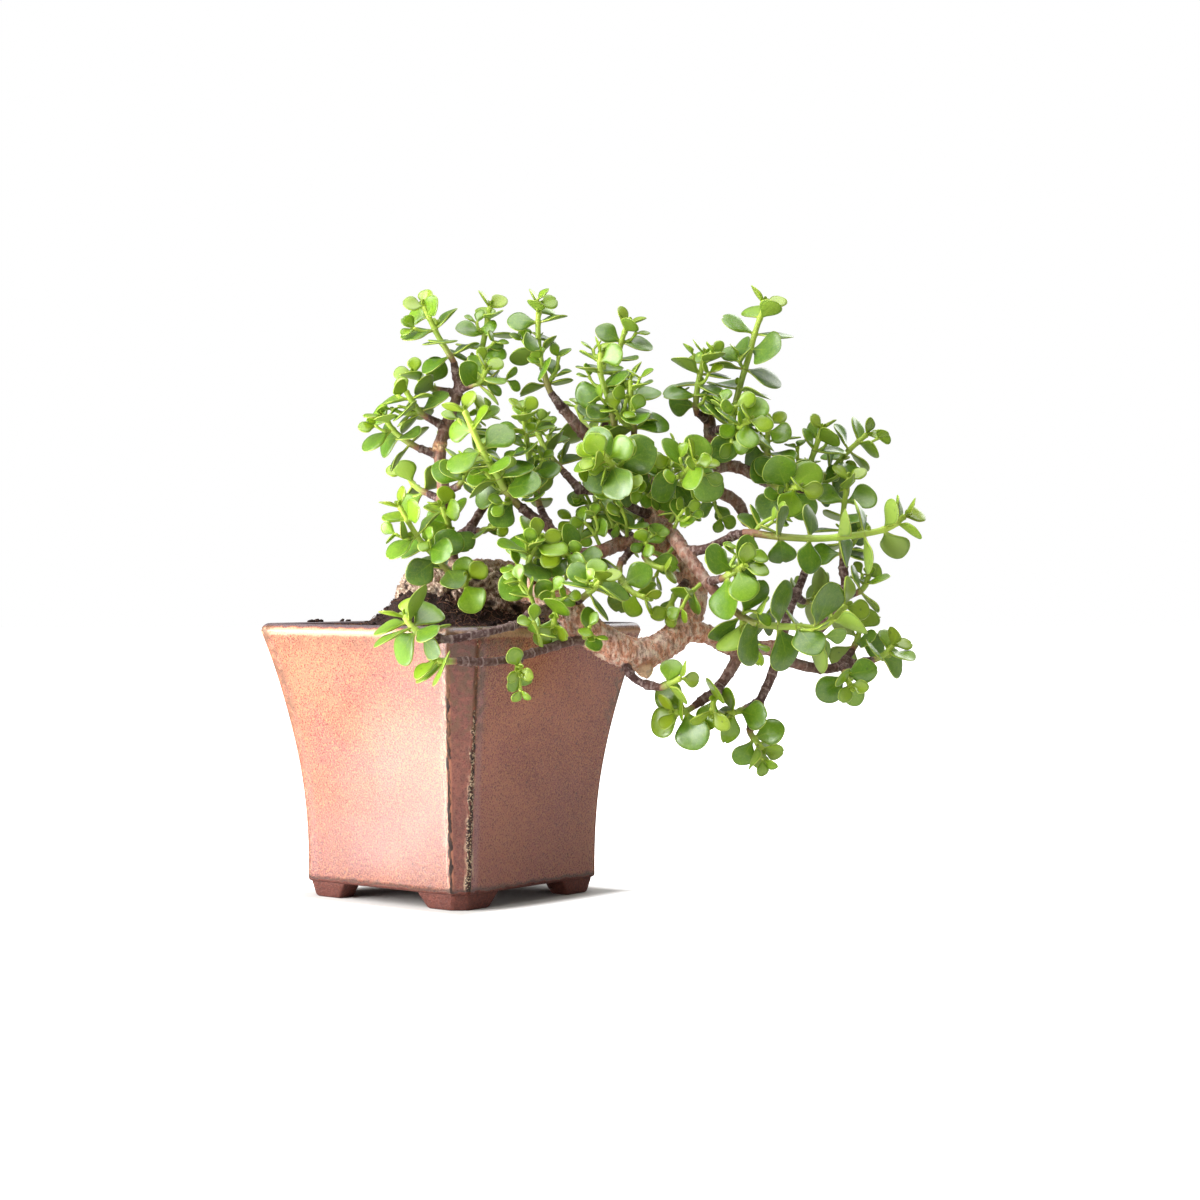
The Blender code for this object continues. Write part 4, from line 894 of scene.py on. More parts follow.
limbs = {  # (across, depth, up, radius) points from foot to end
    "trunk": [
        (20, -4, 160, 8.5), (34, -16, 161, 8.5), (46, -34, 158, 7.8), (54, -50, 153.5, 7.5),
        (61, -60, 147, 7.5), (70, -63, 138, 7.8), (83, -60, 129, 8.2), (98, -52, 124.5, 8),
        (113.5, -43, 131, 7.3), (123.5, -33, 143, 6.6), (127, -26, 156, 6.6), (124, -20, 167, 7.4),
        (115.5, -14, 177, 8.2), (109, -9, 186, 6.4), (105.5, -5, 197, 5.4), (103, 0, 209, 4.8),
        (98, 2, 221, 4.3), (88, 2, 229, 3.8), (73, 2, 236, 3.4), (61, 1, 249, 2.8), (54.5, 0, 257, 2.3),
    ],
    "burl": [(112, -12, 180, 5), (107, -18, 183, 5.5), (103, -22, 186, 3.5)],
    "cut_knob": [(99, -52, 124, 5), (101, -55, 115, 4)],
    "left_upright": [
        (-8, -2, 166, 4.4), (-7, -2, 180, 3.9), (-6.3, -2, 194, 3.4), (-4.5, -2, 210, 3.3),
        (-6.5, -2, 231, 3.3), (-2, -1, 246, 3), (3, 0, 260, 2.6), (2.8, 0, 271, 2.2),
    ],
    "left_inner": [
        (2, 8, 166, 3.4), (0, 10, 182, 2.8), (9, 12, 190, 2.4), (15, 14, 199, 2.3), (21, 16, 208, 2),
    ],
    "left_branch": [
        (110, -12, 181, 5.2), (99, -18, 182, 4.4), (88, -22, 182, 3.8), (77, -26, 178, 3.6),
        (67, -28, 177, 3.2), (56.5, -30, 184, 2.9), (48.5, -32, 192, 2.6), (39, -33, 198.5, 2.3),
    ],
    "lower_right": [
        (120, -40, 137, 5.4), (133, -35, 135, 4.8), (146, -30, 128, 4), (167, -25, 128, 3.6),
        (189, -20, 133, 2.8),
    ],
    "lower_right_end": [
        (166, -25, 128, 3.4), (177, -20, 120.5, 3), (195, -12, 116.5, 2.6), (209, -8, 119, 2.2),
        (220, -5, 120, 1.9),
    ],
    "drooping_end": [
        (171, -23, 124, 2.6), (167, -27, 112, 2.5), (161.5, -28, 100, 2.3), (157, -28, 88, 1.9),
    ],
    "lower_left_fork": [
        (151, -30, 127, 3.4), (146.5, -36, 117, 2.9), (138.5, -40, 106, 2.5), (130, -42, 99.5, 2),
    ],
    "under_twig": [(88, -58, 126, 2.6), (94, -63, 113, 2.1), (104, -66, 107, 1.7)],
    "front_diagonal": [
        (109, -8, 191, 4.4), (115, -26, 187, 4), (121.5, -38, 178, 3.6), (129, -46, 168, 3.3),
        (136.5, -52, 158.5, 3), (143, -56, 152, 2.6),
    ],
    "middle_right": [(122, -38, 178, 2.8), (134, -42, 180, 2.4), (150, -40, 188, 2)],
    "dark_level": [(103, 0, 210, 3.4), (91, -10, 211.5, 2.9), (77, -16, 210, 2.4), (65, -20, 210, 2)],
    "middle_twig": [(106, -5, 196, 2.8), (94, -16, 201, 2.2), (86, -22, 206, 1.8)],
    "rising_twig": [(91, -20, 181, 2.6), (83, -6, 189, 2.1), (76, 2, 196, 1.8), (70, 6, 204, 1.6)],
    "right_fork": [
        (103, 0, 203, 4.4), (113, 4, 209, 3.9), (124, 6, 211.5, 3.8), (137, 10, 210, 3.4),
        (149, 12, 204, 3.2), (154.5, 8, 193, 2.7),
    ],
    "crown_post": [
        (122, 6, 211, 3.8), (130, 9, 218, 3.8), (134.5, 10, 229, 3.6), (135, 8, 242, 3.3),
        (133.5, 6, 255, 3),
    ],
    "crown_arm": [
        (132, 10, 221, 3.4), (146, 12, 223, 3.2), (157, 10, 219, 3), (167, 8, 213, 2.6),
        (177, 6, 208, 2.2),
    ],
    "right_riser": [(186, -21, 132, 2.9), (199, -16, 144, 2.6), (206, -12, 158, 2.4), (205, -9, 171, 2.2)],
    "middle_riser": [(172, -24, 128, 2.7), (177, -10, 148, 2.4), (183, -2, 162, 2.2), (187, 4, 174, 1.9)],
    "long_front": [
        (58, -56, 150, 3), (42, -68, 146, 2.2), (34.5, -83, 140.5, 2.1), (24, -96, 137.5, 2),
        (13, -106, 135, 2), (0, -111, 132.5, 2), (-10, -112, 132.5, 1.9),
    ],
    "long_front_low": [
        (79, -61, 132, 3), (64, -70, 131.5, 2.4), (51, -80, 128, 2.2), (35.5, -92, 123.5, 2.1),
        (20, -105, 120.5, 2), (7, -113, 121, 2),
    ],
}
shoots = {  # leaf pairs, side stems, first turn, leaf length, then the route from the wood to the tip
    "left_peak": (5, 0, 10, 18, (2.8, 0, 268), (1, -2, 276.5), (-7.3, -4, 290.5), (-14.6, -6, 305.7)),
    "left_second": (
        5, 0, 20, 18, (2.9, 0, 266), (9.4, 6, 272), (15, 8, 282), (17.7, 8, 294), (19.8, 8, 305.7),
    ),
    "left_third": (3, 1, 45, 18, (2.8, 0, 262), (9.5, -8, 264.5), (15, -12, 267), (18, -14, 273)),
    "left_shoulder": (4, 0, 0, 18, (3, 0, 260), (-5.7, 3, 262), (-12.5, 4, 264), (-20, 5, 271)),
    "left_upper": (4, 1, 60, 19, (-3.5, -2, 243), (-13, -6, 248), (-19, -8, 253.5), (-24, -10, 262)),
    "left_outer": (5, 0, 20, 19, (-6.5, -2, 228), (-17.5, -4, 232), (-28.7, -6, 239.4), (-36, -8, 249.3)),
    "left_low_back": (3, 0, 30, 18, (-5, -2, 205), (-12, 10, 208), (-19, 20, 212), (-24, 28, 219)),
    "left_inner_front": (4, 0, 70, 19, (-4.8, -2, 208), (3, -10, 212), (6.5, -15, 218), (9.4, -18, 224)),
    "left_back": (4, 0, 10, 18, (-5, -2, 238), (3, 12, 240), (10, 22, 243), (16, 30, 250)),
    "low_left": (
        6, 0, 15, 19, (-2, -10, 163), (-1, -25, 166.5), (-9, -32, 175.5), (-18, -38, 186),
        (-27.5, -42, 202),
    ),
    "low_left_round": (2, 0, 40, 20, (4, -10, 160), (6, -24, 160), (7, -30, 161.5), (8, -36, 164)),
    "low_left_high": (4, 0, 30, 17, (0, 9, 181), (0, -6, 186), (-2, -15, 193), (-5.2, -20, 202)),
    "low_left_small": (2, 0, 0, 13, (8, 12, 189), (14, -4, 188.5), (19, -12, 190), (24, -17, 192)),
    "yellow_front": (
        7, 1, 25, 20, (40, -33, 198), (34, -35, 203), (27.7, -38, 210.2), (22.4, -41, 219.6),
        (15.1, -44, 232.1), (6.3, -46, 252),
    ),
    "middle_left_high": (
        6, 1, 0, 17, (51, -31, 190), (46, -24, 201), (41, -22, 222), (38.5, -24, 240), (37.6, -26, 251),
    ),
    "middle_left_back": (5, 1, 40, 18, (67, -19, 210), (58, -4, 220), (49, 4, 231), (43, 8, 244)),
    "first_mast": (
        7, 1, 0, 17, (57, 0, 253.5), (51.5, -1, 261), (47.5, -2, 273), (45.4, -2, 284.2),
        (44.9, -3, 298.3), (46, -3, 306),
    ),
    "second_mast": (
        7, 1, 15, 17, (76, 2, 234), (80, 8, 245), (83, 10, 262), (85.5, 10, 274), (88.7, 9, 288.4),
        (91.8, 8, 297),
    ),
    "third_mast": (
        6, 1, 50, 17, (80, 2, 232), (85, -9, 242), (82, -13, 256), (77.5, -15, 271), (77.7, -15, 282),
    ),
    "fourth_mast": (5, 1, 20, 19, (92, 2, 226), (95, -10, 238), (93.8, -17, 254), (92.9, -20, 268)),
    "fifth_mast": (6, 0, 30, 18, (134.5, 7, 246), (128, 1, 251), (128.5, -3, 265), (132.5, -4, 282)),
    "tall_right": (
        8, 0, 10, 21, (140, 11, 222), (145, 6, 236), (147.6, 4, 252), (151, 2, 266), (155.5, 0, 281),
        (159, -1, 294), (164, -2, 308),
    ),
    "crown_right_first": (4, 1, 10, 18, (160, 10, 217), (165, 5, 225), (165, 3, 236), (166.5, 2, 246)),
    "crown_right_second": (5, 1, 20, 18, (174, 6, 209), (183, 5, 215), (188.9, 4, 228), (194, 3, 243)),
    "crown_right_third": (
        6, 1, 35, 17, (175, 7, 208), (187, 14, 211), (199, 16, 221), (208, 16, 231), (218, 15, 240),
    ),
    "right_vertical": (
        7, 1, 10, 18, (205.5, -10, 166), (205, -7, 174), (204.5, -5, 185), (205.5, -4, 201),
        (208, -4, 217),
    ),
    "long_right": (
        8, 1, 55, 20, (146, -40, 186), (154, -44, 188), (171, -50, 186), (192, -54, 185),
        (213, -56, 187), (229, -57, 190.5), (238, -58, 197),
    ),
    "front_big": (
        7, 1, 30, 25, (139, -53, 156), (148, -60, 147), (158, -65, 141), (170, -68, 139),
        (182, -69, 138.7), (195, -68, 139), (207, -66, 150),
    ),
    "front_big_high": (4, 1, 30, 22, (134, -50, 162), (141, -62, 164), (147, -69, 167), (153, -74, 171)),
    "far_right": (3, 0, 50, 20, (216, -6, 120), (221, -7, 121), (227, -9, 124), (232, -10, 129)),
    "far_right_under": (3, 0, 10, 18, (206, -9, 118.5), (206, -18, 115), (207, -25, 112), (209, -30, 108)),
    "far_right_up": (4, 0, 20, 18, (205, -10, 119), (210, -1, 126), (213, 4, 133), (215, 8, 142)),
    "droop_tip": (3, 0, 30, 19, (157.6, -28, 91), (156, -30, 84), (159, -32, 79), (163, -33, 74)),
    "droop_middle": (3, 0, 70, 19, (161, -28, 99), (154, -37, 96), (149, -42, 94), (144, -46, 93)),
    "fork_tip": (3, 0, 30, 21, (134, -41, 102.5), (126.5, -44, 97), (121, -47, 94), (116, -50, 94)),
    "fork_front": (2, 0, 10, 20, (140, -39, 108), (139, -49, 104), (137, -55, 100), (136, -60, 94)),
    "under_tip": (2, 0, 40, 19, (101, -65, 108.5), (109, -69, 107), (114, -71, 109), (120, -73, 112)),
    "front_cascade": (
        5, 0, 50, 23, (-6, -112, 132.5), (-12, -113, 134), (-17, -113, 136), (-21, -112.5, 139),
        (-25, -111, 145),
    ),
    "front_cascade_low": (
        2, 0, 20, 26, (10, -111, 120.6), (2, -114.5, 121), (-3, -116, 121), (-8, -117, 121.5),
    ),
    "front_spur": (2, 0, 0, 14, (35, -92, 124), (34.5, -98, 120.5), (34.5, -101, 118.5), (35, -104, 116)),
    "front_hanging": (2, 0, 20, 20, (57, -56, 151), (55, -69, 148), (53.5, -74, 144), (53, -79, 139)),
    "middle_left_front": (
        5, 0, 30, 21, (45, -33, 158), (42, -45, 164), (40, -50, 171), (42, -53, 178), (46, -55, 185),
    ),
    "middle_front": (4, 0, 50, 19, (60, -59, 148), (68, -69, 154), (73, -73, 158), (78, -76, 163)),
    "middle_front_high": (4, 0, 20, 19, (72, -27, 177.5), (66, -40, 175), (61, -48, 175), (56, -54, 178)),
    "middle_spray": (
        4, 0, 30, 17, (95, -20, 181), (88, -34, 172), (88, -41, 164), (94, -46, 157), (101, -49, 154),
    ),
    "middle_twiglet": (2, 0, 60, 18, (101, -18, 181), (101, -32, 175), (105, -39, 171), (111, -44, 169)),
    "trunk_twig": (2, 0, 10, 17, (124, -26, 163), (118, -36, 158), (115.5, -41, 153), (113, -45, 148)),
    "crown_back": (3, 0, 20, 19, (103, 0, 207), (109, 20, 214), (114, 36, 222), (118, 48, 232)),
    "left_crown_back": (3, 1, 30, 18, (82, 2, 231), (75, 22, 238), (69, 36, 245), (65, 46, 254)),
    "low_back": (2, 0, 10, 19, (99, -17, 182), (93, 8, 187), (87, 26, 192), (81, 42, 199)),
    "right_outer": (3, 0, 40, 17, (205, -12, 156), (211, -9, 156), (216, -6, 159), (219, -4, 166)),
    "right_inner": (4, 1, 25, 18, (180, -6, 155), (184, 4, 152), (189, 12, 153), (195, 18, 158)),
    "front_crown": (5, 1, 45, 22, (95, 2, 223), (91, -22, 221), (85, -36, 223), (79, -46, 228)),
    "front_crown_right": (5, 1, 15, 21, (103, 0, 213), (112, -20, 215), (121, -34, 219), (127, -43, 226)),
    "crown_fill": (5, 1, 35, 21, (135, 8, 241), (143, -12, 243), (150, -24, 243), (156, -33, 247)),
    "crown_fill_low": (5, 1, 55, 21, (157, 10, 219), (166, -12, 214), (174, -25, 211), (182, -34, 212)),
}
stoutStems = dict(yellow_front=1.8, tall_right=1.6, long_right=1.7, front_big=1.7)

leafForm = dict(
    outline=((0.55, 1.0), (0.99, 0.46)), thick=0.0021, curl=0.10, crown=0.5, neck=0.0032, neckHalf=0.001,
    tipFaces=((0, 5, 1), (5, 2, 1), (5, 3, 2), (3, 4, 2), (4, 1, 2), (4, 0, 1)),
)
growth = dict(
    eyeDistance=1.330, eyeHeight=0.169, tipRoom=0.001, baseRoom=0.0045, packing=1.15, pairPlay=18,
    sizes=(0.62, 0.85, 1.0), spreads=(40, 60, 72, 80), spreadPlay=9, facePlay=30,
    weight=Vector((0.0, 0.0, -0.12)), lightPull=Vector((-0.1, -0.8, 0.35)), depthShare=0.65,
    headingSpan=0.05, baseSpan=0.02,  # how far along a route its heading is measured
    lengths=(0.88, 1.06), widths=(0.66, 0.9), tries=16, tryTurn=5, tryTurnMost=40, tryShrink=0.02,
    clearance=0.0005, reach=0.045, sameBud=0.0015, outwardLeast=0.4,
    trunkSides=8, limbSides=6, twigSides=4, twigGirths=(2.2, 1.9),
    stemGirth=1.5, stemTaper=0.25, nodeHalf=0.0008, sunk=0.0016, sideSunk=0.0002,
    sideSteps=((58, 0.008), (44, 0.016)), sideLift=Vector((0.0, 0.0, 0.15)), sidePairs=2, sideTurn=45,
    sideLeaf=0.88, sideGirth=0.8, sideBase=0.0004,
)
sprouts = dict(
    heart=(0.082, 0.222), heartReach=0.062, share=(0.12, 0.75), reach=(0.007, 0.0125), fork=(0.5, 1.5),
    leaf=0.8, girth=0.9,
)
spurs = dict(
    heart=(0.070, 0.212), heartReach=0.050, share=1.1, spacing=0.0065, reach=(0.010, 0.017), fork=0.35,
    leaf=15.0, girth=1.08, limbMost=0.0055, outside=0.0006, lift=Vector((0, -0.3, 0.5)),
)


def seenAt(across, depth, up):
    # the point that looks to be at (across, up) from the front and lies at this depth
    eye, reach = growth["eyeHeight"], 1 + depth * mm / growth["eyeDistance"]
    return Vector((across * mm * reach, depth * mm, eye + (up * mm - eye) * reach))


limbWays = {name: ([seenAt(*p[:3]) for p in row], [p[3] for p in row]) for name, row in limbs.items()}


def alongRoute(points, at):
    # smooth curve through the points; at runs from 0 to the number of spans
    span = min(int(at), len(points) - 2)
    t = at - span
    b, c = points[span], points[span + 1]
    a = points[span - 1] if span else b - (c - b)
    d = points[span + 2] if span + 2 < len(points) else c + (c - b)
    cubic = (2 * a - 5 * b + 4 * c - d) * t**2 + (3 * b - a - 3 * c + d) * t**3
    return 0.5 * (2 * b + (c - a) * t + cubic)


def alongList(values, at):
    k = min(int(at), len(values) - 2)
    return between(values[k], values[k + 1], at - k)


def routeLength(points, start, spans=60):
    last = len(points) - 1
    fine = [alongRoute(points, start + (last - start) * i / spans) for i in range(spans + 1)]
    return sum((q - p).length for p, q in zip(fine, fine[1:]))


def around(level, front, degrees):
    # the direction at this turn in the plane of the two axes
    return level * math.cos(math.radians(degrees)) + front * math.sin(math.radians(degrees))


def solidTree(shape):
    return BVHTree.FromPolygons(*shape)


def evaluated(guide):
    # the finished mesh of a curve or a modified object, which is then done with
    link(guide)
    bpy.context.view_layer.update()
    mesh = bpy.data.meshes.new_from_object(guide.evaluated_get(bpy.context.evaluated_depsgraph_get()))
    bpy.data.objects.remove(guide)
    return mesh


def plainTube(points, radii, sides):
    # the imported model's round limb, as a tree that leaves are tested against
    curve = bpy.data.curves.new("guide", "CURVE")
    curve.dimensions = "3D"
    curve.bevel_depth = mm
    curve.bevel_resolution = sides // 2 - 2
    curve.use_fill_caps = True
    spline = curve.splines.new("POLY")
    spline.points.add(len(points) - 1)
    for control, at, radius in zip(spline.points, points, radii):
        control.co = (*at, 1.0)
        control.radius = radius
    mesh = evaluated(bpy.data.objects.new("guide", curve))
    tube = solidTree(([v.co.copy() for v in mesh.vertices], [tuple(p.vertices) for p in mesh.polygons]))
    bpy.data.curves.remove(curve)
    bpy.data.meshes.remove(mesh)
    return tube


def rootRing(z, scale, sides=rootForm["sides"]):
    # oval of the root base at height z, with the slow lumps of old wood
    points = []
    for a in (2 * math.pi * i / sides for i in range(sides)):
        lump = sum((swell * math.sin(number * a + turn) for swell, number, turn in rootForm["lumps"]), 1)
        x = rootForm["long"] * lump * scale * math.cos(a)
        y = rootForm["deep"] * lump * scale * math.sin(a)
        points.append(rootForm["centre"] + Vector((x, y, z)))
    return points


class Stem:
    # a green stem: its route, where on it the stem starts, and its row of opposite leaf pairs
    def __init__(self, name, route, start, pairs, turn, leaf, girth):
        self.name, self.route, self.start, self.pairs, self.turn = name, route, start, pairs, turn
        self.leaf, self.girth = leaf * mm, girth * mm
        self.length = routeLength(route, start)
        self.sunk = growth["sunk"] if start else growth["sideSunk"]

    def share(self, k):
        # pair k's distance from the tip as a share of the stem's length
        room = self.length - growth["tipRoom"] - growth["baseRoom"]
        back = growth["tipRoom"] + room * (k / max(self.pairs - 1, 1)) ** growth["packing"]
        return back / self.length

    def at(self, k):
        return self.start + (len(self.route) - 1 - self.start) * (1 - self.share(k))

    def axes(self, k):
        # pair k's root, the stem's heading there, two axes square to it, and the ring's turn
        at = self.at(k)
        ahead = alongRoute(self.route, min(at + growth["headingSpan"], len(self.route) - 1))
        heading = (ahead - alongRoute(self.route, at - growth["headingSpan"])).normalized()
        level = heading.cross(Vector((0, 1, 0))).normalized()
        front = heading.cross(level).normalized()
        play = random.Random(f"{self.name} pair {k}").uniform(-growth["pairPlay"], growth["pairPlay"])
        return alongRoute(self.route, at), heading, level, front, self.turn + play

    def axil(self, k, halfTurn):
        # a leaf's root, the stem's heading there and the direction outwards
        root, heading, level, front, turn = self.axes(k)
        return root, heading, around(level, front, turn + 90 * k + 180 * halfTurn)

    def plainShape(self, baseGap):
        level, _, turn = self.axes(self.pairs - 1)[2:]
        base = alongRoute(self.route, self.start)
        heading = alongRoute(self.route, self.start + growth["baseSpan"]) - base
        if self.start:
            heading = self.route[1] - self.route[0]
        heading.normalize()
        level = (level - heading * level.dot(heading)).normalized()
        rings = [stemRing(base + heading * baseGap, level, heading.cross(level), turn, self.girth)]
        for k in reversed(range(self.pairs)):
            root, heading, level, front, turn = self.axes(k)
            radius = self.girth * (1 - growth["stemTaper"] * (1 - self.share(k)))
            for lift in (-growth["nodeHalf"], growth["nodeHalf"]):
                rings.append(stemRing(root + heading * lift, level, front, turn, radius))
        return closedLoft(rings)


def stemRing(centre, level, front, turn, radius):
    return [centre + around(level, front, turn - 45 + 90 * i) * radius for i in range(4)]


def plainLeafPoints(leaf, margin):
    root, blade, face, length, width = leaf
    side = blade.cross(face).normalized()
    face = side.cross(blade).normalized()
    half = width / 2 + margin

    def at(t, across, lift):
        bent = face * (lift - leafForm["curl"] * length * t * t)
        return root + blade * ((length + margin) * t) + side * across + bent

    points = [at(t, half * share, 0.0) for t, share in leafForm["outline"]]
    points += [at(t, -half * share, 0.0) for t, share in reversed(leafForm["outline"])]
    thick = leafForm["thick"] / 2 + margin
    return points + [at(leafForm["crown"], 0.0, thick), at(leafForm["crown"], 0.0, -thick)]


def plainLeafShape(leaf, start, margin):
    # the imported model's blade as a closed solid of its own that begins this far from its root
    root, blade, face = leaf[:3]
    side = blade.cross(face).normalized() * (leafForm["neckHalf"] + margin)
    face = side.cross(blade)
    base = [root + blade * start + across for across in (face, side, -face, -side)]
    grown = plainLeafPoints(leaf, margin)
    loop = (0, 5, 3, 4)

    def bearing(point):
        away = point - root
        return (away - blade * away.dot(blade)).normalized()

    def match(shift):
        middles = [(base[i] + base[(i + 1) % 4]) / 2 for i in range(4)]
        return sum(bearing(middles[i]).dot(bearing(grown[loop[(i + shift) % 4]])) for i in range(4))

    best = max(range(4), key=match)
    ring = [4 + loop[(i + best) % 4] for i in range(4)]
    faces = [(3, 2, 1, 0)]
    for i, j in ((0, 1), (1, 2), (2, 3), (3, 0)):
        faces += [(i, j, ring[i]), (j, ring[j], ring[i])]
    return base + grown, faces + shifted(leafForm["tipFaces"], 4)


class Crowd:
    # what a new stem or leaf mustn't cross: fixed solids, other stems, and the leaves so far
    def __init__(self, fixed):
        self.fixed, self.stems, self.leaves = fixed, [], []

    def stemMeets(self, stem, owner):
        probe = solidTree(stem.plainShape(growth["sideBase"]))
        others = [tree for other, tree in self.stems if other != owner]
        return any(probe.overlap(tree) for tree in self.fixed + others)

    def leafMeets(self, leaf, owner):
        whole = solidTree(plainLeafShape(leaf, 0.0, growth["clearance"]))
        free = solidTree(plainLeafShape(leaf, leafForm["neck"], growth["clearance"]))
        if any(whole.overlap(tree) for tree in self.fixed):
            return True
        if any((free if other == owner else whole).overlap(tree) for other, tree in self.stems):
            return True
        for root, tree in self.leaves:
            away = (root - leaf[0]).length
            if away < growth["reach"] and (free if away < growth["sameBud"] else whole).overlap(tree):
                return True
        return False

    def addStem(self, stem, owner):
        self.stems.append((owner, solidTree(stem.plainShape(0.0))))

    def addLeaf(self, leaf):
        self.leaves.append((leaf[0], solidTree(plainLeafShape(leaf, 0.0, 0.0))))


def growLeaf(stem, k, halfTurn, owner, crowd):
    # one leaf of pair k: the first of its tries that crosses nothing, or None
    g = growth
    draw = random.Random(f"{stem.name} leaf {k} {halfTurn}")
    root, heading, level, front, turn = stem.axes(k)
    turn += 90 * k + 180 * halfTurn
    straight = around(level, front, turn)
    size = stem.leaf * g["sizes"][min(k, len(g["sizes"]) - 1)]
    spread = g["spreads"][min(k, len(g["spreads"]) - 1)]
    for attempt in range(g["tries"]):
        loose = min(attempt * g["tryTurn"], g["tryTurnMost"])
        out = around(level, front, turn + draw.uniform(-loose, loose))
        lean = math.radians(spread + draw.uniform(-g["spreadPlay"] - loose, g["spreadPlay"] + loose))
        blade = out * math.sin(lean) + heading * math.cos(lean) + g["weight"]
        blade = Vector((blade.x, blade.y * g["depthShare"], blade.z)).normalized()
        face = heading * math.sin(lean) - out * math.cos(lean) + g["lightPull"]
        face = Matrix.Rotation(math.radians(draw.gauss(0, g["facePlay"])), 3, blade) @ face
        length = size * draw.uniform(*g["lengths"]) * (1 - g["tryShrink"] * attempt)
        leaf = (root, blade, face, length, length * draw.uniform(*g["widths"]))
        if blade.dot(straight) > g["outwardLeast"] and not crowd.leafMeets(leaf, owner):
            crowd.addLeaf(leaf)
            return leaf
    return None


def growLeaves(stem, owner, crowd):
    # {(pair, half turn): leaf} for the leaves that find room
    leaves = {}
    for k in range(stem.pairs):
        for halfTurn in (0, 1):
            leaf = growLeaf(stem, k, halfTurn, owner, crowd)
            if leaf:
                leaves[k, halfTurn] = leaf
    return leaves


def mainStem(name):
    pairs, _, turn, leaf, *route = shoots[name]
    girth = stoutStems.get(name, growth["stemGirth"])
    return Stem(name, [seenAt(*p) for p in route], 1.0, pairs, turn, leaf, girth)


def sideStems(name, main, crowd):
    # short stems that rise from the axils of the main stem's lower pairs, where there is room
    g, found = growth, []
    wanted, leaf = shoots[name][1], shoots[name][3] * growth["sideLeaf"]
    for k in reversed(range(main.pairs)):
        if len(found) == wanted:
            break
        for halfTurn in (0, 1):
            root, heading, out = main.axil(k, halfTurn)
            route = [root]
            for lean, reach in g["sideSteps"]:
                step = around(heading, out, lean) + g["sideLift"]
                route.append(root + step.normalized() * reach)
            girth = g["stemGirth"] * g["sideGirth"]
            side = Stem(f"{name} side {k}", route, 0.0, g["sidePairs"], g["sideTurn"], leaf, girth)
            if not crowd.stemMeets(side, name):
                crowd.addStem(side, name)
                found.append(side)
                break
    return found


def growPlant():
    # every shoot's stems with their leaves: {shoot name: [(stem, {(pair, half turn): leaf})]}
    rootRings = [rootRing(z, scale) for z, scale in rootForm["levels"]]
    fixed = [solidTree(closedLoft(rings)) for rings in (plainPotRings(), plainSoilRings(), rootRings)]
    for name, (route, radii) in limbWays.items():
        fixed.append(plainTube(route, radii, growth["trunkSides" if name == "trunk" else "limbSides"]))
    mains = {name: mainStem(name) for name in shoots}
    for main in mains.values():
        fixed.append(plainTube(main.route[:2], growth["twigGirths"], growth["twigSides"]))
    crowd = Crowd(fixed)
    for name, main in mains.items():
        crowd.addStem(main, name)
    stems = {name: [main] + sideStems(name, main, crowd) for name, main in mains.items()}
    grown = {name: [(stem, growLeaves(stem, name, crowd)) for stem in row] for name, row in stems.items()}
    return grown, crowd


def nearHeart(root, g):
    far = (root.x - g["heart"][0]) ** 2 + (root.z - g["heart"][1]) ** 2
    return math.exp(-far / g["heartReach"] ** 2)


def growYoung(name, start, out, heading, fork, reach, leaf, girth, owner, crowd, sunk=None):
    # a short stem with two pairs of leaves, unless it would cross something
    route = [start] + [start + (out + heading * fork * t).normalized() * reach * t for t in (0.5, 1.0)]
    young = Stem(name, route, 0.0, growth["sidePairs"], growth["sideTurn"], leaf, girth)
    if not crowd.stemMeets(young, owner):
        crowd.addStem(young, owner)
        young.sunk = sunk or young.sunk
        plant[owner].append((young, growLeaves(young, owner, crowd)))


def growSprouts(crowd):
    # young side growth in the axils, most of it inside the crown, where there is room
    g = sprouts
    for owner, row in plant.items():
        draw = random.Random("sprouts of " + owner)
        for stem, _ in list(row):
            for k, halfTurn in ((k, halfTurn) for k in range(1, stem.pairs) for halfTurn in (0, 1)):
                root, heading, out = stem.axil(k, halfTurn)
                reach, fork = draw.uniform(*g["reach"]), draw.uniform(*g["fork"])
                if draw.random() <= between(*g["share"], nearHeart(root, g)):
                    name, leaf = f"{stem.name} sprout {k} {halfTurn}", stem.leaf / mm * g["leaf"]
                    growYoung(name, root, out, heading, fork, reach, leaf, g["girth"], owner, crowd)


def growSpurs(crowd):
    # short leafy spurs on the crown's inner limbs, each a part of the shoot nearest to it
    g, span = spurs, growth["baseSpan"]
    for limb, (route, radii) in limbWays.items():
        draw = random.Random("spurs of " + limb)
        steps = int(routeLength(route, 0.0) / g["spacing"])
        for i in range(1, steps):
            at = (len(route) - 1) * i / steps
            root, girth = alongRoute(route, at), alongList(radii, at) * mm
            heading = (alongRoute(route, at + span) - alongRoute(route, at - span)).normalized()
            chance, turn, reach = draw.random(), draw.uniform(0, 6.28), draw.uniform(*g["reach"])
            if girth > g["limbMost"] or chance > g["share"] * nearHeart(root, g):
                continue
            level = heading.cross(Vector((0, 1, 0))).normalized()
            out = level * math.cos(turn) + heading.cross(level) * math.sin(turn) + g["lift"]
            out = (out - heading * out.dot(heading)).normalized()
            start = root + out * (girth + g["outside"])
            owner = min(plant, key=lambda name: (plant[name][0][0].route[1] - root).length)
            name = f"{limb} spur {i}"
            growYoung(name, start, out, heading, g["fork"], reach, g["leaf"], g["girth"], owner, crowd, girth)


def countLeaves():
    return sum(len(leaves) for row in plant.values() for _, leaves in row)


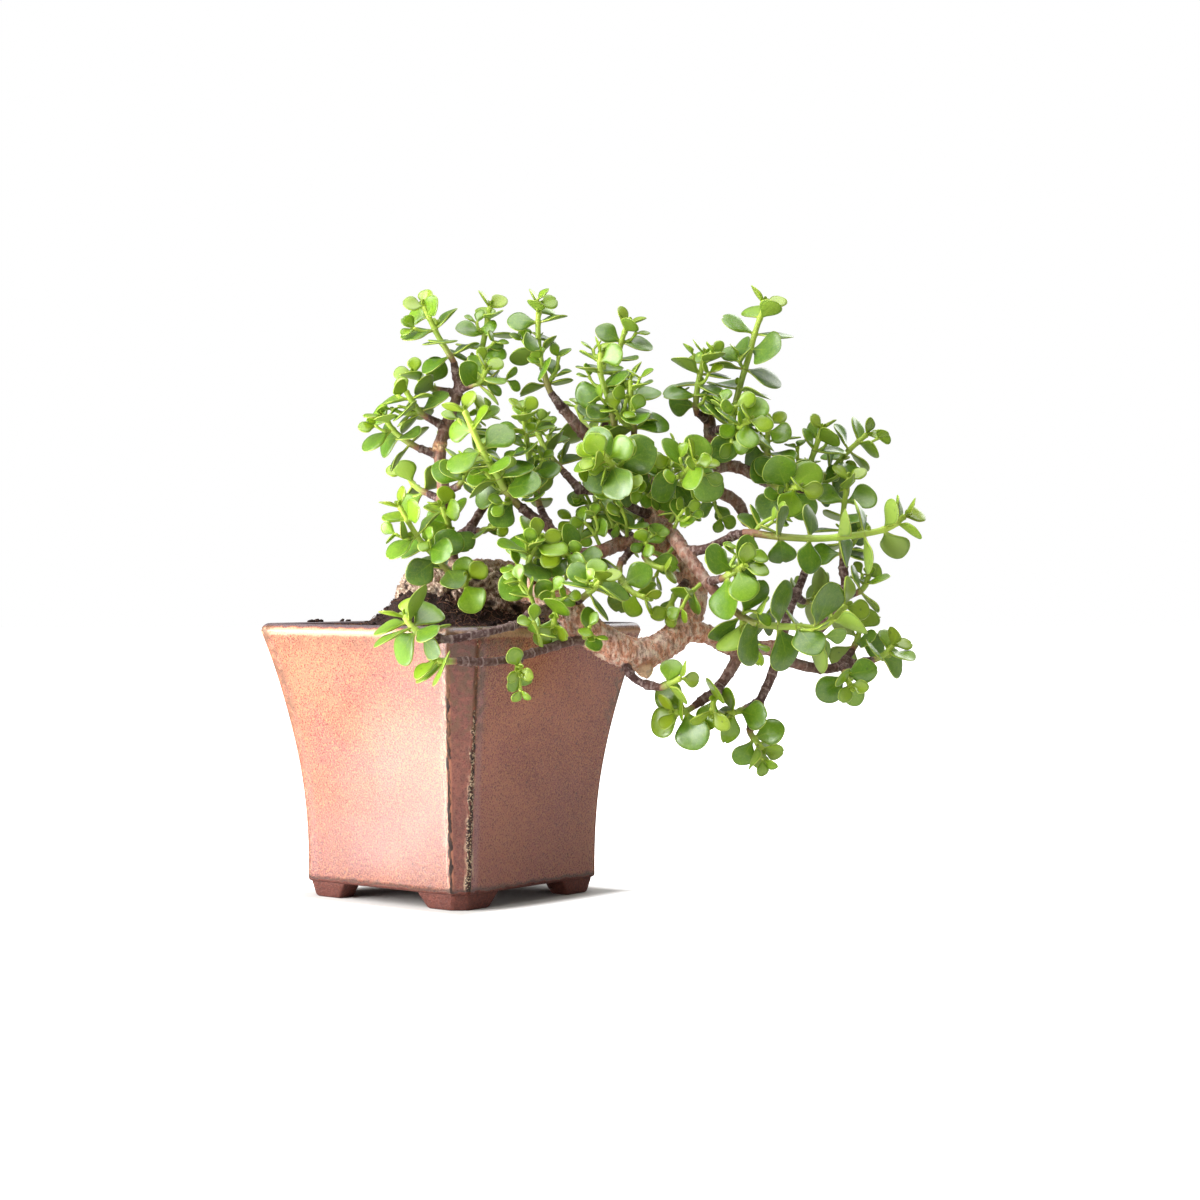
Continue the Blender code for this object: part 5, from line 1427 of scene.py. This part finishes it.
plant, grownCrowd = growPlant()
print("stage 5: grew", countLeaves(), "leaves on", sum(len(row) for row in plant.values()), "stems")
growSpurs(grownCrowd)
growSprouts(grownCrowd)
print("and with sprouts", countLeaves(), "leaves")

# Wood: root base, trunk, limbs and twigs grown together, then barked

woodLook = dict(
    voxel=0.00066, sides=14, step=0.0008, flare=0.32, flareReach=0.0035, smoothing=3, triangles=190000,
    endTurns=(35, 65, 85), endStep=0.3,
    rootSides=40, rootLevels=26,
    rootCore=dict(points=15, reach=0.024, height=0.156, girth=0.014, seed=0.3),
    girthBands=(0.0, 0.0028, 0.0042, 0.0065, 1.0),
    youngGirth=0.0021, oldGirth=0.0052,  # a limb's radius where its bark is all young, and all old
    ringSpacing=0.0082, ringHeight=0.00026, ringWidth=0.0006, scarHeight=0.00045, scarWidth=0.0011,
    oldRelief=0.0011, fineRelief=0.00022, youngRelief=0.00012, rootRelief=0.0026,
    wrinkle=0.0005, wrinkleSpacing=0.0046, wrinkleWidth=0.12,
    rootRight=(0.034, 0.012), rootTop=(0.176, 0.008), rootFront=-0.030,  # where root bark ends and fades
    roughGrain=300, ridgeGrain=(400, 320, 150), fineGrain=1400, foldGrain=60,
    furrowGrain=(130, 130, 190), furrowSlant=60,  # these noises have this many grains in a metre
    collar=dict(at=(-6.3, -2, 232.5), reach=0.0034, swell=0.0007, around=0.0058),
    scars=(  # where, how far, and how fresh
        ((-8.2, -4, 210), 0.0030, 0.55), ((-7.5, -4, 196), 0.0032, 1.0), ((101, -56, 114.0), 0.0085, 1.0),
        ((76, -2, 238), 0.0050, 0.8), ((97, -4, 225), 0.0050, 0.8), ((59, -58, 151), 0.0050, 0.8),
    ),
    young=tint(74, 50, 48), youngPale=tint(172, 150, 144), twig=tint(92, 62, 50),
    old=tint(218, 156, 128), oldPale=tint(246, 222, 200), oldDark=tint(110, 66, 50),
    greyPink=tint(216, 182, 168), redPatch=tint(196, 116, 90), flake=tint(234, 214, 192),
    root=tint(132, 108, 88), rootPale=tint(220, 200, 176), creviceShade=tint(36, 24, 20),
    cut=tint(226, 190, 150), fresh=tint(184, 128, 96),
    grainStretch=(1.7, 1.3, 0.6),  # wrinkles run up and down, across the lying limbs
)


def limbPath(route, radii):
    # even points along the smooth route with the radius at each
    count = max(int(routeLength(route, 0.0) / woodLook["step"]), 4)
    ways = [(len(route) - 1) * i / count for i in range(count + 1)]
    return [alongRoute(route, at) for at in ways], [alongList(radii, at) * mm for at in ways]


def limbShape(points, girths):
    # closed tube with a flared foot and a rounded end
    look = woodLook
    swept, far = [], 0.0
    for i, girth in enumerate(girths):
        far += (points[i] - points[i - 1]).length if i else 0.0
        swept.append(girth * (1 + look["flare"] * math.exp(-far / look["flareReach"])))
    ahead = (points[-1] - points[-2]).normalized()
    for turn in look["endTurns"]:
        points = points + [points[-1] + ahead * girths[-1] * look["endStep"]]
        swept.append(girths[-1] * math.cos(math.radians(turn)))
    return threadShape(points, swept, look["sides"])


def rootShape():
    # the stump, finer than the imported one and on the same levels
    count, (heights, scales) = woodLook["rootLevels"], zip(*rootForm["levels"])
    ways = [(len(heights) - 1) * i / count for i in range(count + 1)]
    rings = [rootRing(alongList(heights, at), alongList(scales, at), woodLook["rootSides"]) for at in ways]
    return closedLoft(rings)


def reworked(points, faces, kind, **settings):
    # the mesh that one of Blender's modifiers makes of these points and faces
    mesh = bpy.data.meshes.new("woodGuide")
    mesh.from_pydata(points, [], faces)
    guide = bpy.data.objects.new("woodGuide", mesh)
    tool = guide.modifiers.new("rework", kind)
    for key, value in settings.items():
        setattr(tool, key, value)
    made = evaluated(guide)
    places = np.empty(len(made.vertices) * 3)
    made.vertices.foreach_get("co", places)
    corners = [tuple(p.vertices) for p in made.polygons]
    edges = np.empty(len(made.edges) * 2, int)
    made.edges.foreach_get("vertices", edges)
    bpy.data.meshes.remove(made)
    bpy.data.meshes.remove(mesh)
    return places.reshape(-1, 3), corners, edges.reshape(-1, 2)


def fusedWood(shapes):
    # one skin round all the overlapping shapes
    points, faces = [], []
    for shape in shapes:
        faces += shifted(shape[1], len(points))
        points += [tuple(p) for p in shape[0]]
    return reworked(points, faces, "REMESH", mode="VOXEL", voxel_size=woodLook["voxel"])


def smoothed(places, edges, rounds):
    # each point moves towards the middle of its neighbours, then partly back, so thin twigs keep their girth
    count = np.bincount(edges.ravel(), minlength=len(places))[:, None]
    for pull in (0.6, -0.5) * rounds:
        total = np.zeros_like(places)
        np.add.at(total, edges[:, 0], places[edges[:, 1]])
        np.add.at(total, edges[:, 1], places[edges[:, 0]])
        places = places + (total / count - places) * pull
    return places


def skinNormals(places, corners):
    quads = np.array([c if len(c) == 4 else c + c[-1:] for c in corners])
    normals = np.zeros_like(places)
    a, b, c, d = (places[quads[:, k]] for k in range(4))
    across = np.cross(c - a, d - b)
    for k in range(4):
        np.add.at(normals, quads[:, k], across)
    return normals / np.maximum(np.linalg.norm(normals, axis=1, keepdims=True), 1e-12)


def barkAt(p, core, girth, far, seed, heading):
    # the bark at one point: how far it stands out, its age, ring and share of root base, how hollow it is for
    # the shade painted in its furrows
    look = woodLook
    age = smooth(clamped((girth - look["youngGirth"]) / (look["oldGirth"] - look["youngGirth"])))
    (right, rightFade), (top, topFade) = look["rootRight"], look["rootTop"]
    base = clamped((rootForm["centre"].x + right - p.x) / rightFade)
    base = base * clamped((top - p.z) / topFade) if p.y > look["rootFront"] else 0.0
    spacing = look["ringSpacing"] * (0.8 + 0.5 * ((seed * 7.31) % 1))
    near = (far / spacing) % 1 - 0.5
    ring = math.exp(-((near * spacing / look["ringWidth"]) ** 2))
    out = p - core
    side = heading.cross(Vector((0.2, 0.1, 1.0))).normalized()
    other = heading.cross(side)
    bearing = math.atan2(out.dot(side), out.dot(other)) + math.pi / 2 * int(far / spacing) + seed * 6
    scar = max(0.0, math.cos(2 * bearing)) ** 6 * math.exp(-((near * spacing / look["scarWidth"]) ** 2))
    rough = noise.fractal(p * look["roughGrain"], 0.7, 2.2, 4)
    x, y, z = (c * grain for c, grain in zip(p, look["ridgeGrain"]))
    ridged = 1 - 2 * abs(noise.noise(Vector((x + seed, y, z))))
    fine = noise.noise(p * look["fineGrain"])
    fold = (far / look["wrinkleSpacing"] + 0.5 * rough) % 1 - 0.5
    here = max(0.0, noise.noise(p * look["foldGrain"]) + 0.2)
    wrinkle = math.exp(-(fold / look["wrinkleWidth"]) ** 2) * age * here
    x, y, z = (c * grain for c, grain in zip(p, look["furrowGrain"]))
    furrow = noise.noise(Vector((x + p.z * look["furrowSlant"], y, z)))
    deep = 1 - 2.6 * abs(furrow + 0.25 * rough)
    relief = age * (0.6 * rough + 0.3 * ridged - 0.15)
    lift = look["oldRelief"] * relief + look["fineRelief"] * fine * (0.3 + age) + look["youngRelief"] * rough
    lift += (ring * look["ringHeight"] + scar * look["scarHeight"]) * (1 - age) + wrinkle * look["wrinkle"]
    lift += base * look["rootRelief"] * (0.7 * deep + 0.3 * rough)
    cavity = max(age * (0.30 - 0.55 * relief - 0.2 * fine), base * (0.72 - 0.8 * deep - 0.25 * rough))
    return lift, age, ring * (1 - age), base, cavity


def makeBark():
    # marks: woodSpot is (age, ring, hollow for painted shade), woodKind is (limb's own tone, root base, cut
    # wood)
    look = woodLook
    material, shader, where = newMaterial("ringedBark", Specular_IOR_Level=0.35)
    tree = where.id_data
    age, ring, hollow = mark(where, "woodSpot")
    own, base, cut = mark(where, "woodKind")
    fine = grainMask(where, 0.5, 2.6)
    medium = grainMask(where, 1.8, 2.4)
    patch = blotchMask(where, 7.0, 0.45, 0.2)
    pits = speckMask(where, 1.3, 0.4, 0.15)
    stretched = stretch(where, look["grainStretch"])
    broad = grainMask(stretched, 3.4, 3.4)

    young = Coats(look, "young")
    young.lay(fade(medium, 0.45, 0.95, 0.0, 0.6), "youngPale")
    young.lay(times(blotchMask(where, 4.5, 0.42, 0.12), 0.3), "youngPale")
    young.lay(times(own, 0.6), "twig")
    young.lay(fade(ring, 0.25, 0.8, 0.0, 0.5), "youngPale")
    old = Coats(look, "old")
    old.lay(patch, "greyPink")
    old.lay(times(blotchMask(where, 10.0, 0.40, 0.12), 0.6), "redPatch")
    old.lay(fade(broad, 0.5, 0.95, 0.0, 0.65), "oldPale")
    old.lay(fade(broad, 0.4, 0.05, 0.0, 0.5), "oldDark")
    old.lay(fade(medium, 0.4, 0.1, 0.0, 0.25), "oldDark")
    # pale flakes, painted more on the undersides as the light bounced up from the floor
    up = put(tree, "SeparateXYZ", {0: put(tree, "NewGeometry").outputs["Normal"]}).outputs["Z"]
    old.lay(times(blotchMask(where, 8.0, 0.42, 0.10), fade(up, 0.4, -0.6, 0.12, 0.8)), "flake")
    stump = Coats(look, "root")
    stump.lay(fade(medium, 0.35, 0.9), "rootPale")
    stump.lay(times(patch, 0.4), "greyPink")

    colour = Coats(look, young.made)
    colour.lay(age, old.made)
    colour.lay(base, stump.made)
    # near-black pits, painted as the shade inside them
    colour.lay(times(pits, fade(age, 0.0, 1.0, 0.35, 0.5)), "creviceShade")
    inputs = {"Vector": stretched, "Scale": 230.0, "Detail": 3.0, "Distortion": 0.5}
    wander = put(tree, "TexNoise", inputs).outputs[0]
    cracks = fade(calc("ABSOLUTE", minus(wander, 0.5)), 0.026, 0.004)
    split = times(cracks, larger(fade(age, 0.2, 0.9, 0.0, 0.55), times(base, 0.7)))
    colour.lay(split, "oldDark")
    # painted shade in the bark's furrows and hollows
    colour.lay(fade(hollow, 0.45, 1.0, 0.0, 0.92), "creviceShade")
    colour.lay(fade(fine, 0.35, 0.0, 0.0, 0.3), "oldDark")
    wood = Coats(look, "fresh")
    wood.lay(fade(cut, 0.35, 0.75), "cut")
    colour.lay(times(fade(cut, 0.1, 0.4), fade(medium, 0.15, 0.5, 0.35, 1.0)), wood.made)
    rough = fade(fine, 0.0, 1.0, 0.55, 0.92)
    whole = minus(1.0, larger(pits, split))
    dress(shader, colour.made, rough, (broad, 0.0003), (whole, 0.0002), (fine, 0.00004))
    return material


def limbSamples(rows):
    # along every limb: (place, girth, distance from its foot, its own seed, heading)
    samples = []
    for name, (points, girths) in rows.items():
        seed, far = random.Random("bark of " + name).random(), 0.0
        for i, p in enumerate(points):
            far += (p - points[i - 1]).length if i else 0.0
            heading = (points[min(i + 1, len(points) - 1)] - points[max(i - 1, 0)]).normalized()
            samples.append((p, girths[i], far, seed, heading))
    core = woodLook["rootCore"]
    for i in range(core["points"]):
        aside = 2 * core["reach"] * i / (core["points"] - 1) - core["reach"]
        spot = rootForm["centre"] + Vector((aside, 0, core["height"]))
        samples.append((spot, core["girth"], 0.0, core["seed"], Vector((1, 0, 0))))
    return samples


def finderOf(numbered):
    numbered = list(numbered)
    finder = KDTree(len(numbered))
    for i, p in numbered:
        finder.insert(p, i)
    finder.balance()
    return finder


def makeWood():
    look = woodLook
    rows = {name: limbPath(route, radii) for name, (route, radii) in limbWays.items()}
    for name, row in plant.items():
        rows[name] = limbPath(row[0][0].route[:2], growth["twigGirths"])
    samples = limbSamples(rows)
    finders = []
    for least, most in zip(look["girthBands"], look["girthBands"][1:]):
        finders.append(finderOf((i, s[0]) for i, s in enumerate(samples) if least <= s[1] < most))

    places, corners, edges = fusedWood([rootShape()] + [limbShape(*row) for row in rows.values()])
    places = smoothed(places, edges, look["smoothing"])
    normals = skinNormals(places, corners)
    collar = look["collar"]
    ringAt = seenAt(*collar["at"])
    scars = [(seenAt(*at), reach, kind) for at, reach, kind in look["scars"]]
    lifts, spots, kinds = [], [], []
    for x, y, z in places:
        p = Vector((x, y, z))
        found = min((finder.find(p) for finder in finders), key=lambda hit: hit[2] / samples[hit[1]][1])
        lift, age, ring, base, cavity = barkAt(p, *samples[found[1]])
        away = abs(p.z - ringAt.z) / collar["reach"] if (p - ringAt).length < collar["around"] else 9.0
        crumbly = max(0.0, 1 - away * away) * (0.6 + 0.7 * noise.noise(p * 900))
        cut = max(kind * max(0.0, 1.4 - 1.4 * (p - at).length / reach) for at, reach, kind in scars)
        lifts.append(lift + crumbly * collar["swell"])
        spots.append((age, ring, clamped(cavity)))
        kinds.append((samples[found[1]][3], base, min(max(crumbly, cut), 1.0)))
    dense = places + normals * np.array(lifts)[:, None]
    places, corners, _ = reworked(dense, corners, "DECIMATE", ratio=look["triangles"] / (2 * len(corners)))
    finder = finderOf(enumerate(dense))
    like = [finder.find(p)[1] for p in places]
    marks = {"woodSpot": [spots[i] for i in like], "woodKind": [kinds[i] for i in like]}
    print("wood skin:", len(dense), "points, then", len(places), "points and", len(corners), "faces")
    makePiece("grownWood", places, corners, [makeBark()], "wood", marks)


makeWood()
print("stage 6: root base, trunk and limbs with their bark")

# Leafy shoots

leafLook = dict(
    rings=(
        0.0, 0.03, 0.07, 0.12, 0.18, 0.25, 0.33, 0.42, 0.51, 0.60, 0.68, 0.76, 0.83, 0.885, 0.93, 0.965,
        0.988,
    ),
    around=16, aroundSmall=12, small=0.0095,  # a leaf shorter than this has fewer rings too
    broader=1.08, thick=0.00185, fullLength=0.014, cup=(-0.05, 0.30), curlPlay=0.04, bend=0.05,
    wave=0.00022, twist=0.16, crease=0.00022, creaseWidth=0.0007,
    notchShare=0.2, notch=0.06, peak=(1.2, 1.5), foot=(1.0, 1.35), neck=0.14,
    tipRound=0.55, roundFrom=0.25, roundOver=0.4,
    vigour=(-0.08, 0.10), agePlay=(-0.07, 0.12), pairAge=4.2, sideOlder=0.16,
    young=tint(144, 170, 28), fresh=tint(114, 155, 18), grown=tint(87, 133, 22), aged=tint(58, 96, 20),
    blue=tint(94, 126, 56), under=tint(146, 168, 74), rim=tint(180, 194, 76), rib=tint(156, 182, 48),
    blush=tint(150, 108, 62), spot=tint(60, 80, 36),
)
stemLook = dict(
    sides=12, step=0.0010, leastSteps=8, nodeSwell=0.00034, nodeReach=0.0010, thicker=1.15, tipGirth=0.72,
    tip=tint(180, 204, 76), green=tint(156, 184, 68), olive=tint(148, 142, 80), red=tint(138, 92, 74),
    nodeLine=tint(84, 62, 40),
)
budLook = dict(
    size=(0.0030, 0.0046), width=(0.5, 0.66), turn=12, lean=(16, 34), out=0.0003, up=0.0006,
    least=0.018,  # a side stem shorter than this has no buds
    axilShare=0.3, axilSize=(0.0025, 0.0055), axilTurn=40, axilOut=0.8, axilUp=0.0011, axilLean=0.5,
    axilAge=0.05,
)


def leafWidths(t, peak, foot):
    # share of the half width along an obovate blade: a narrow neck, widest past the middle, a round tip
    look = leafLook
    ease = np.clip((t - look["roundFrom"]) / look["roundOver"], 0, 1)
    power = foot + (look["tipRound"] - foot) * ease * ease * (3 - 2 * ease)
    body = np.clip(np.sin(np.pi * t**peak), 0, 1) ** power
    neck = look["neck"] * np.sqrt(1 - t)
    return (body**3 + neck**3) ** (1 / 3)


def stacked(*parts):
    # one row of three numbers for each point of the rings
    return np.stack(np.broadcast_arrays(*parts), axis=-1).reshape(-1, 3)


def leafSkin(leaf, age, draw):
    # a fleshy blade: points, faces and marks; its base ring sits inside the stem
    look = leafLook
    root, blade, face, length, width = leaf
    rings, count = look["rings"], look["around"]
    if length < look["small"]:
        rings, count = rings[::2] + rings[-1:], look["aroundSmall"]
    side = blade.cross(face).normalized()
    face = side.cross(blade).normalized()
    peak, foot = draw.uniform(*look["peak"]), draw.uniform(*look["foot"])
    cup, bend = draw.uniform(*look["cup"]), draw.uniform(-look["bend"], look["bend"])
    curl = leafForm["curl"] + draw.uniform(-look["curlPlay"], look["curlPlay"])
    twist = draw.uniform(-look["twist"], look["twist"])
    notch = draw.uniform(0.3, 1.0) * look["notch"] if draw.random() < look["notchShare"] else 0.0
    phase, tone = draw.uniform(0, 6.28), draw.random()
    half = width / 2 * look["broader"]
    t = np.array(rings)[:, None]
    turns = 2 * np.pi * np.arange(count) / count
    s, lift = np.cos(turns)[None, :], np.sin(turns)[None, :]
    wide = leafWidths(t, peak, foot) * half
    thick = look["thick"] / 2 * min(1.0, length / look["fullLength"]) ** 0.5
    deep = thick * (0.60 + 0.40 * np.sin(np.pi * np.clip(t, 0, 1))) * np.sqrt(1 - t**8)
    x = wide * s
    z = deep * np.sign(lift) * np.abs(lift) ** 0.75
    z = z + cup * x * x / half + look["wave"] * np.abs(s) ** 2 * np.sin(7 * t + 2.5 * s + phase) * t
    crease = look["crease"] * np.exp(-((x / look["creaseWidth"]) ** 2))
    z = z - crease * np.where(lift > 0, 1.0, -0.6) * np.sin(np.pi * t)
    y = t * length * (1 - notch * (1 - np.abs(s)) * np.clip((t - 0.6) / 0.4, 0, 1) ** 2)
    x, z = x * np.cos(twist * t) - z * np.sin(twist * t), x * np.sin(twist * t) + z * np.cos(twist * t)
    x = x + bend * length * t * t
    z = z - curl * length * t * t
    tip = [[length * (1 - notch), bend * length, -curl * length]]
    points = np.array(root) + np.concatenate([stacked(y, x, z), tip]) @ np.array([blade, side, face])
    rim = np.minimum(wide * (1 - np.abs(s)) * 1000 * 0.9, (1 - t) * length * 1400)
    spots = np.concatenate([stacked(t, rim, np.abs(wide * s) * 1000), [[1.0, 0.0, 0.0]]])
    under = np.clip(0.5 - 0.9 * lift, 0, 1) + 0 * t
    kinds = np.concatenate([stacked(age, tone, under), [[age, tone, 0.5]]])
    last = (len(rings) - 1) * count
    faces = [tuple(range(count))]
    for k in range(0, last, count):
        for i in range(count):
            j = (i + 1) % count
            faces.append((k + i, k + count + i, k + count + j, k + j))
    faces += [(last + i, last + count, last + (i + 1) % count) for i in range(count)]
    return points, faces, spots, kinds


def stemSkin(stem, age, draw):
    # the green stem with a swelling at each leaf pair, from inside the wood to its tip
    look = stemLook
    last = len(stem.route) - 1
    count = max(int(stem.length / look["step"]), look["leastSteps"])
    path = [alongRoute(stem.route, stem.start + (last - stem.start) * i / count) for i in range(count + 1)]
    nodes = [alongRoute(stem.route, stem.at(k)) for k in range(stem.pairs)]
    path = [path[0] - (path[1] - path[0]).normalized() * stem.sunk] + path
    radii, spots = [], []
    for p, share in zip(path, [0.0] + [i / count for i in range(count + 1)]):
        near = min((p - node).length for node in nodes)
        radius = stem.girth * (1 - growth["stemTaper"] * share) * (look["thicker"] if stem.start else 1.0)
        radii.append(radius + look["nodeSwell"] * math.exp(-((near / look["nodeReach"]) ** 2)))
        spots.append((share, near * 1000, 0.0))
    radii[-1] *= look["tipGirth"]
    points, faces = threadShape(path, radii, look["sides"])
    kinds = np.tile([age, draw.random(), 1.0 if stem.start else 0.0], (len(points), 1))
    return np.array(points), faces, np.repeat(np.array(spots), look["sides"], axis=0), kinds


def budLeaves(at, heading, level, front, turn, size, draw):
    # a tiny pair of opening leaves
    look, found = budLook, []
    for halfTurn in (0, 1):
        out = around(level, front, turn + 180 * halfTurn + draw.uniform(-look["turn"], look["turn"]))
        lean = math.radians(draw.uniform(*look["lean"]))
        blade = (out * math.sin(lean) + heading * math.cos(lean)).normalized()
        face = heading * math.sin(lean) - out * math.cos(lean)
        length = draw.uniform(*size)
        width = length * draw.uniform(*look["width"])
        found.append((at + out * look["out"], blade, face, length, width))
    return found


def makeLeafMaterial():
    # marks: leafSpot is (share along, mm from the rim, mm from the midrib)
    # and leafKind is (age, tone, underside)
    look = leafLook
    material, shader, where = newMaterial(
        "fleshyLeaf", Specular_IOR_Level=0.42, Coat_Roughness=0.24,
        Subsurface_Weight=0.10, Subsurface_Scale=0.0014, Subsurface_Radius=(0.8, 1.0, 0.25),
    )
    along, rim, rib = mark(where, "leafSpot")
    age, tone, under = mark(where, "leafKind")
    clouds = blotchMask(where, 5.0, 0.5, 0.35)
    mottle = grainMask(where, 1.3, 1.8)
    fine = grainMask(where, 0.32, 2.2)
    colour = Coats(look, "young")
    colour.lay(fade(age, 0.0, 0.36), "fresh")
    colour.lay(fade(age, 0.25, 0.72), "grown")
    colour.lay(times(fade(age, 0.45, 1.0), fade(tone, 0.25, 0.9)), "aged")
    colour.lay(times(fade(tone, 0.55, 1.0), fade(age, 0.3, 0.8, 0.0, 0.6)), "blue")
    lighter = Coats(look, colour.made)
    lighter.lay(0.28, "rib")
    colour.lay(times(clouds, 0.55), lighter.made)
    colour.lay(fade(mottle, 0.5, 1.0, 0.0, 0.18), "rim")
    colour.lay(times(fade(mottle, 0.45, 0.0, 0.0, 0.22), fade(age, 0.1, 0.5)), "aged")
    colour.lay(fade(fine, 0.6, 1.0, 0.0, 0.2), "rim")

    # veins: a soft midrib that fades towards the tip, and side veins that leave it at a slant
    midrib = times(fade(rib, 0.5, 0.08), fade(along, 0.85, 0.2, 0.0, 0.38))
    slant = plus(minus(times(along, 30.0), times(rib, 1.5)), times(clouds, 2.2))
    veins = times(fade(calc("SINE", slant), 0.80, 1.0), fade(rim, 0.6, 2.0, 0.0, 0.10))
    ribs = larger(midrib, veins)
    colour.lay(ribs, "rib")

    colour.lay(times(under, fade(age, 0.1, 0.6, 0.25, 0.72)), "under")
    colour.lay(times(fade(rim, 0.42, 0.05), fade(age, 0.0, 0.5, 0.35, 0.85)), "rim")
    colour.lay(times(fade(rim, 1.5, 0.7), fade(rim, 0.35, 0.6, 0.0, 0.35)), "aged")
    colour.lay(fade(along, 0.2, 0.05, 0.0, 0.7), "rim")
    colour.lay(times(fade(rim, 0.3, 0.0), fade(tone, 0.7, 1.0, 0.0, 0.45)), "blush")
    colour.lay(times(speckMask(where, 2.4, 0.10, 0.1), 0.4), "spot")

    rough = plus(fade(fine, 0.0, 1.0, 0.27, 0.43), times(under, 0.12))
    connect(shader, {"Coat Weight": fade(under, 0.7, 0.2, 0.05, 0.5)})
    inputs = {"Vector": where, "Scale": 170.0, "Detail": 0.0}
    swell = put(where.id_data, "TexNoise", inputs).outputs[0]
    dress(shader, colour.made, rough, (swell, 0.0004), (ribs, 0.00003))
    return material


def makeStemMaterial():
    look = stemLook
    material, shader, where = newMaterial(
        "greenStem", Specular_IOR_Level=0.45,
        Subsurface_Weight=0.12, Subsurface_Scale=0.0012, Subsurface_Radius=(0.6, 1.0, 0.2),
    )
    share, near, _ = mark(where, "leafSpot")
    _, tone, woody = mark(where, "leafKind")
    streak = grainMask(where, 1.5, 1.8)
    fine = grainMask(where, 0.35, 2.0)
    colour = Coats(look, "green")
    colour.lay(fade(share, 0.35, 0.9), "tip")
    colour.lay(times(fade(share, 0.5, 0.12), woody, 0.75), "olive")
    brown = plus(share, fade(streak, 0.0, 1.0, -0.07, 0.07))
    colour.lay(times(fade(brown, 0.22, 0.02), fade(tone, 0.0, 0.6, 0.4, 1.0), woody), "red")
    colour.lay(fade(streak, 0.5, 0.0, 0.0, 0.35), "olive")
    colour.lay(times(fade(near, 0.55, 0.15), fade(share, 1.0, 0.2, 0.1, 0.6)), "nodeLine")
    dress(shader, colour.made, fade(fine, 0.0, 1.0, 0.36, 0.55), (streak, 0.00005))
    return material


def shootSkins(row):
    # each stem, leaf and bud of a shoot, with 0 for the leaf material or 1 for the stem's
    leafy, look = leafLook, budLook
    for stem, leaves in row:
        draw = random.Random("look of " + stem.name)
        older = draw.uniform(*leafy["vigour"])
        older += 0.0 if stem.start else leafy["sideOlder"]
        yield stemSkin(stem, 0.5, draw), 1
        for (k, _), leaf in leaves.items():
            age = (k + 0.25) / leafy["pairAge"] + older + draw.uniform(*leafy["agePlay"])
            yield leafSkin(leaf, clamped(age), draw), 0
        if stem.length < look["least"] and not stem.start:
            continue
        root, heading, level, front, turn = stem.axes(0)
        tip = root + heading * look["up"]
        for bud in budLeaves(tip, heading, level, front, turn + 90, look["size"], draw):
            yield leafSkin(bud, 0.0, draw), 0
        for k in range(1, stem.pairs):
            if draw.random() > look["axilShare"]:
                continue
            root, heading, level, front, turn = stem.axes(k)
            out = around(level, front, turn + 90 * k + 180 * draw.randrange(2))
            at = root + out * stem.girth * look["axilOut"] + heading * look["axilUp"]
            rising = (heading + out * look["axilLean"]).normalized()
            for bud in budLeaves(at, rising, level, front, turn + look["axilTurn"], look["axilSize"], draw):
                yield leafSkin(bud, look["axilAge"], draw), 0


def makeShoots():
    materials = [makeLeafMaterial(), makeStemMaterial()]
    for name, row in plant.items():
        faces, kinds, parts, total = [], [], [], 0
        for (points, own, spots, ages), kind in shootSkins(row):
            faces += shifted(own, total)
            kinds += [kind] * len(own)
            parts.append((points, spots, ages))
            total += len(points)
        points, spots, ages = (np.concatenate(part) for part in zip(*parts))
        first, *others = name.split("_")
        label = first + "".join(word.capitalize() for word in others) + "Shoot"
        marks = {"leafSpot": spots, "leafKind": ages}
        makePiece(label, points, faces, materials, "shoot_" + name, marks, kinds)


makeShoots()
print("stage 7: leafy shoots")

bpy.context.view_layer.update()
largest = max(triangleCounts.values())
print("triangles:", sum(triangleCounts.values()), "in all,", largest, "in the largest piece")
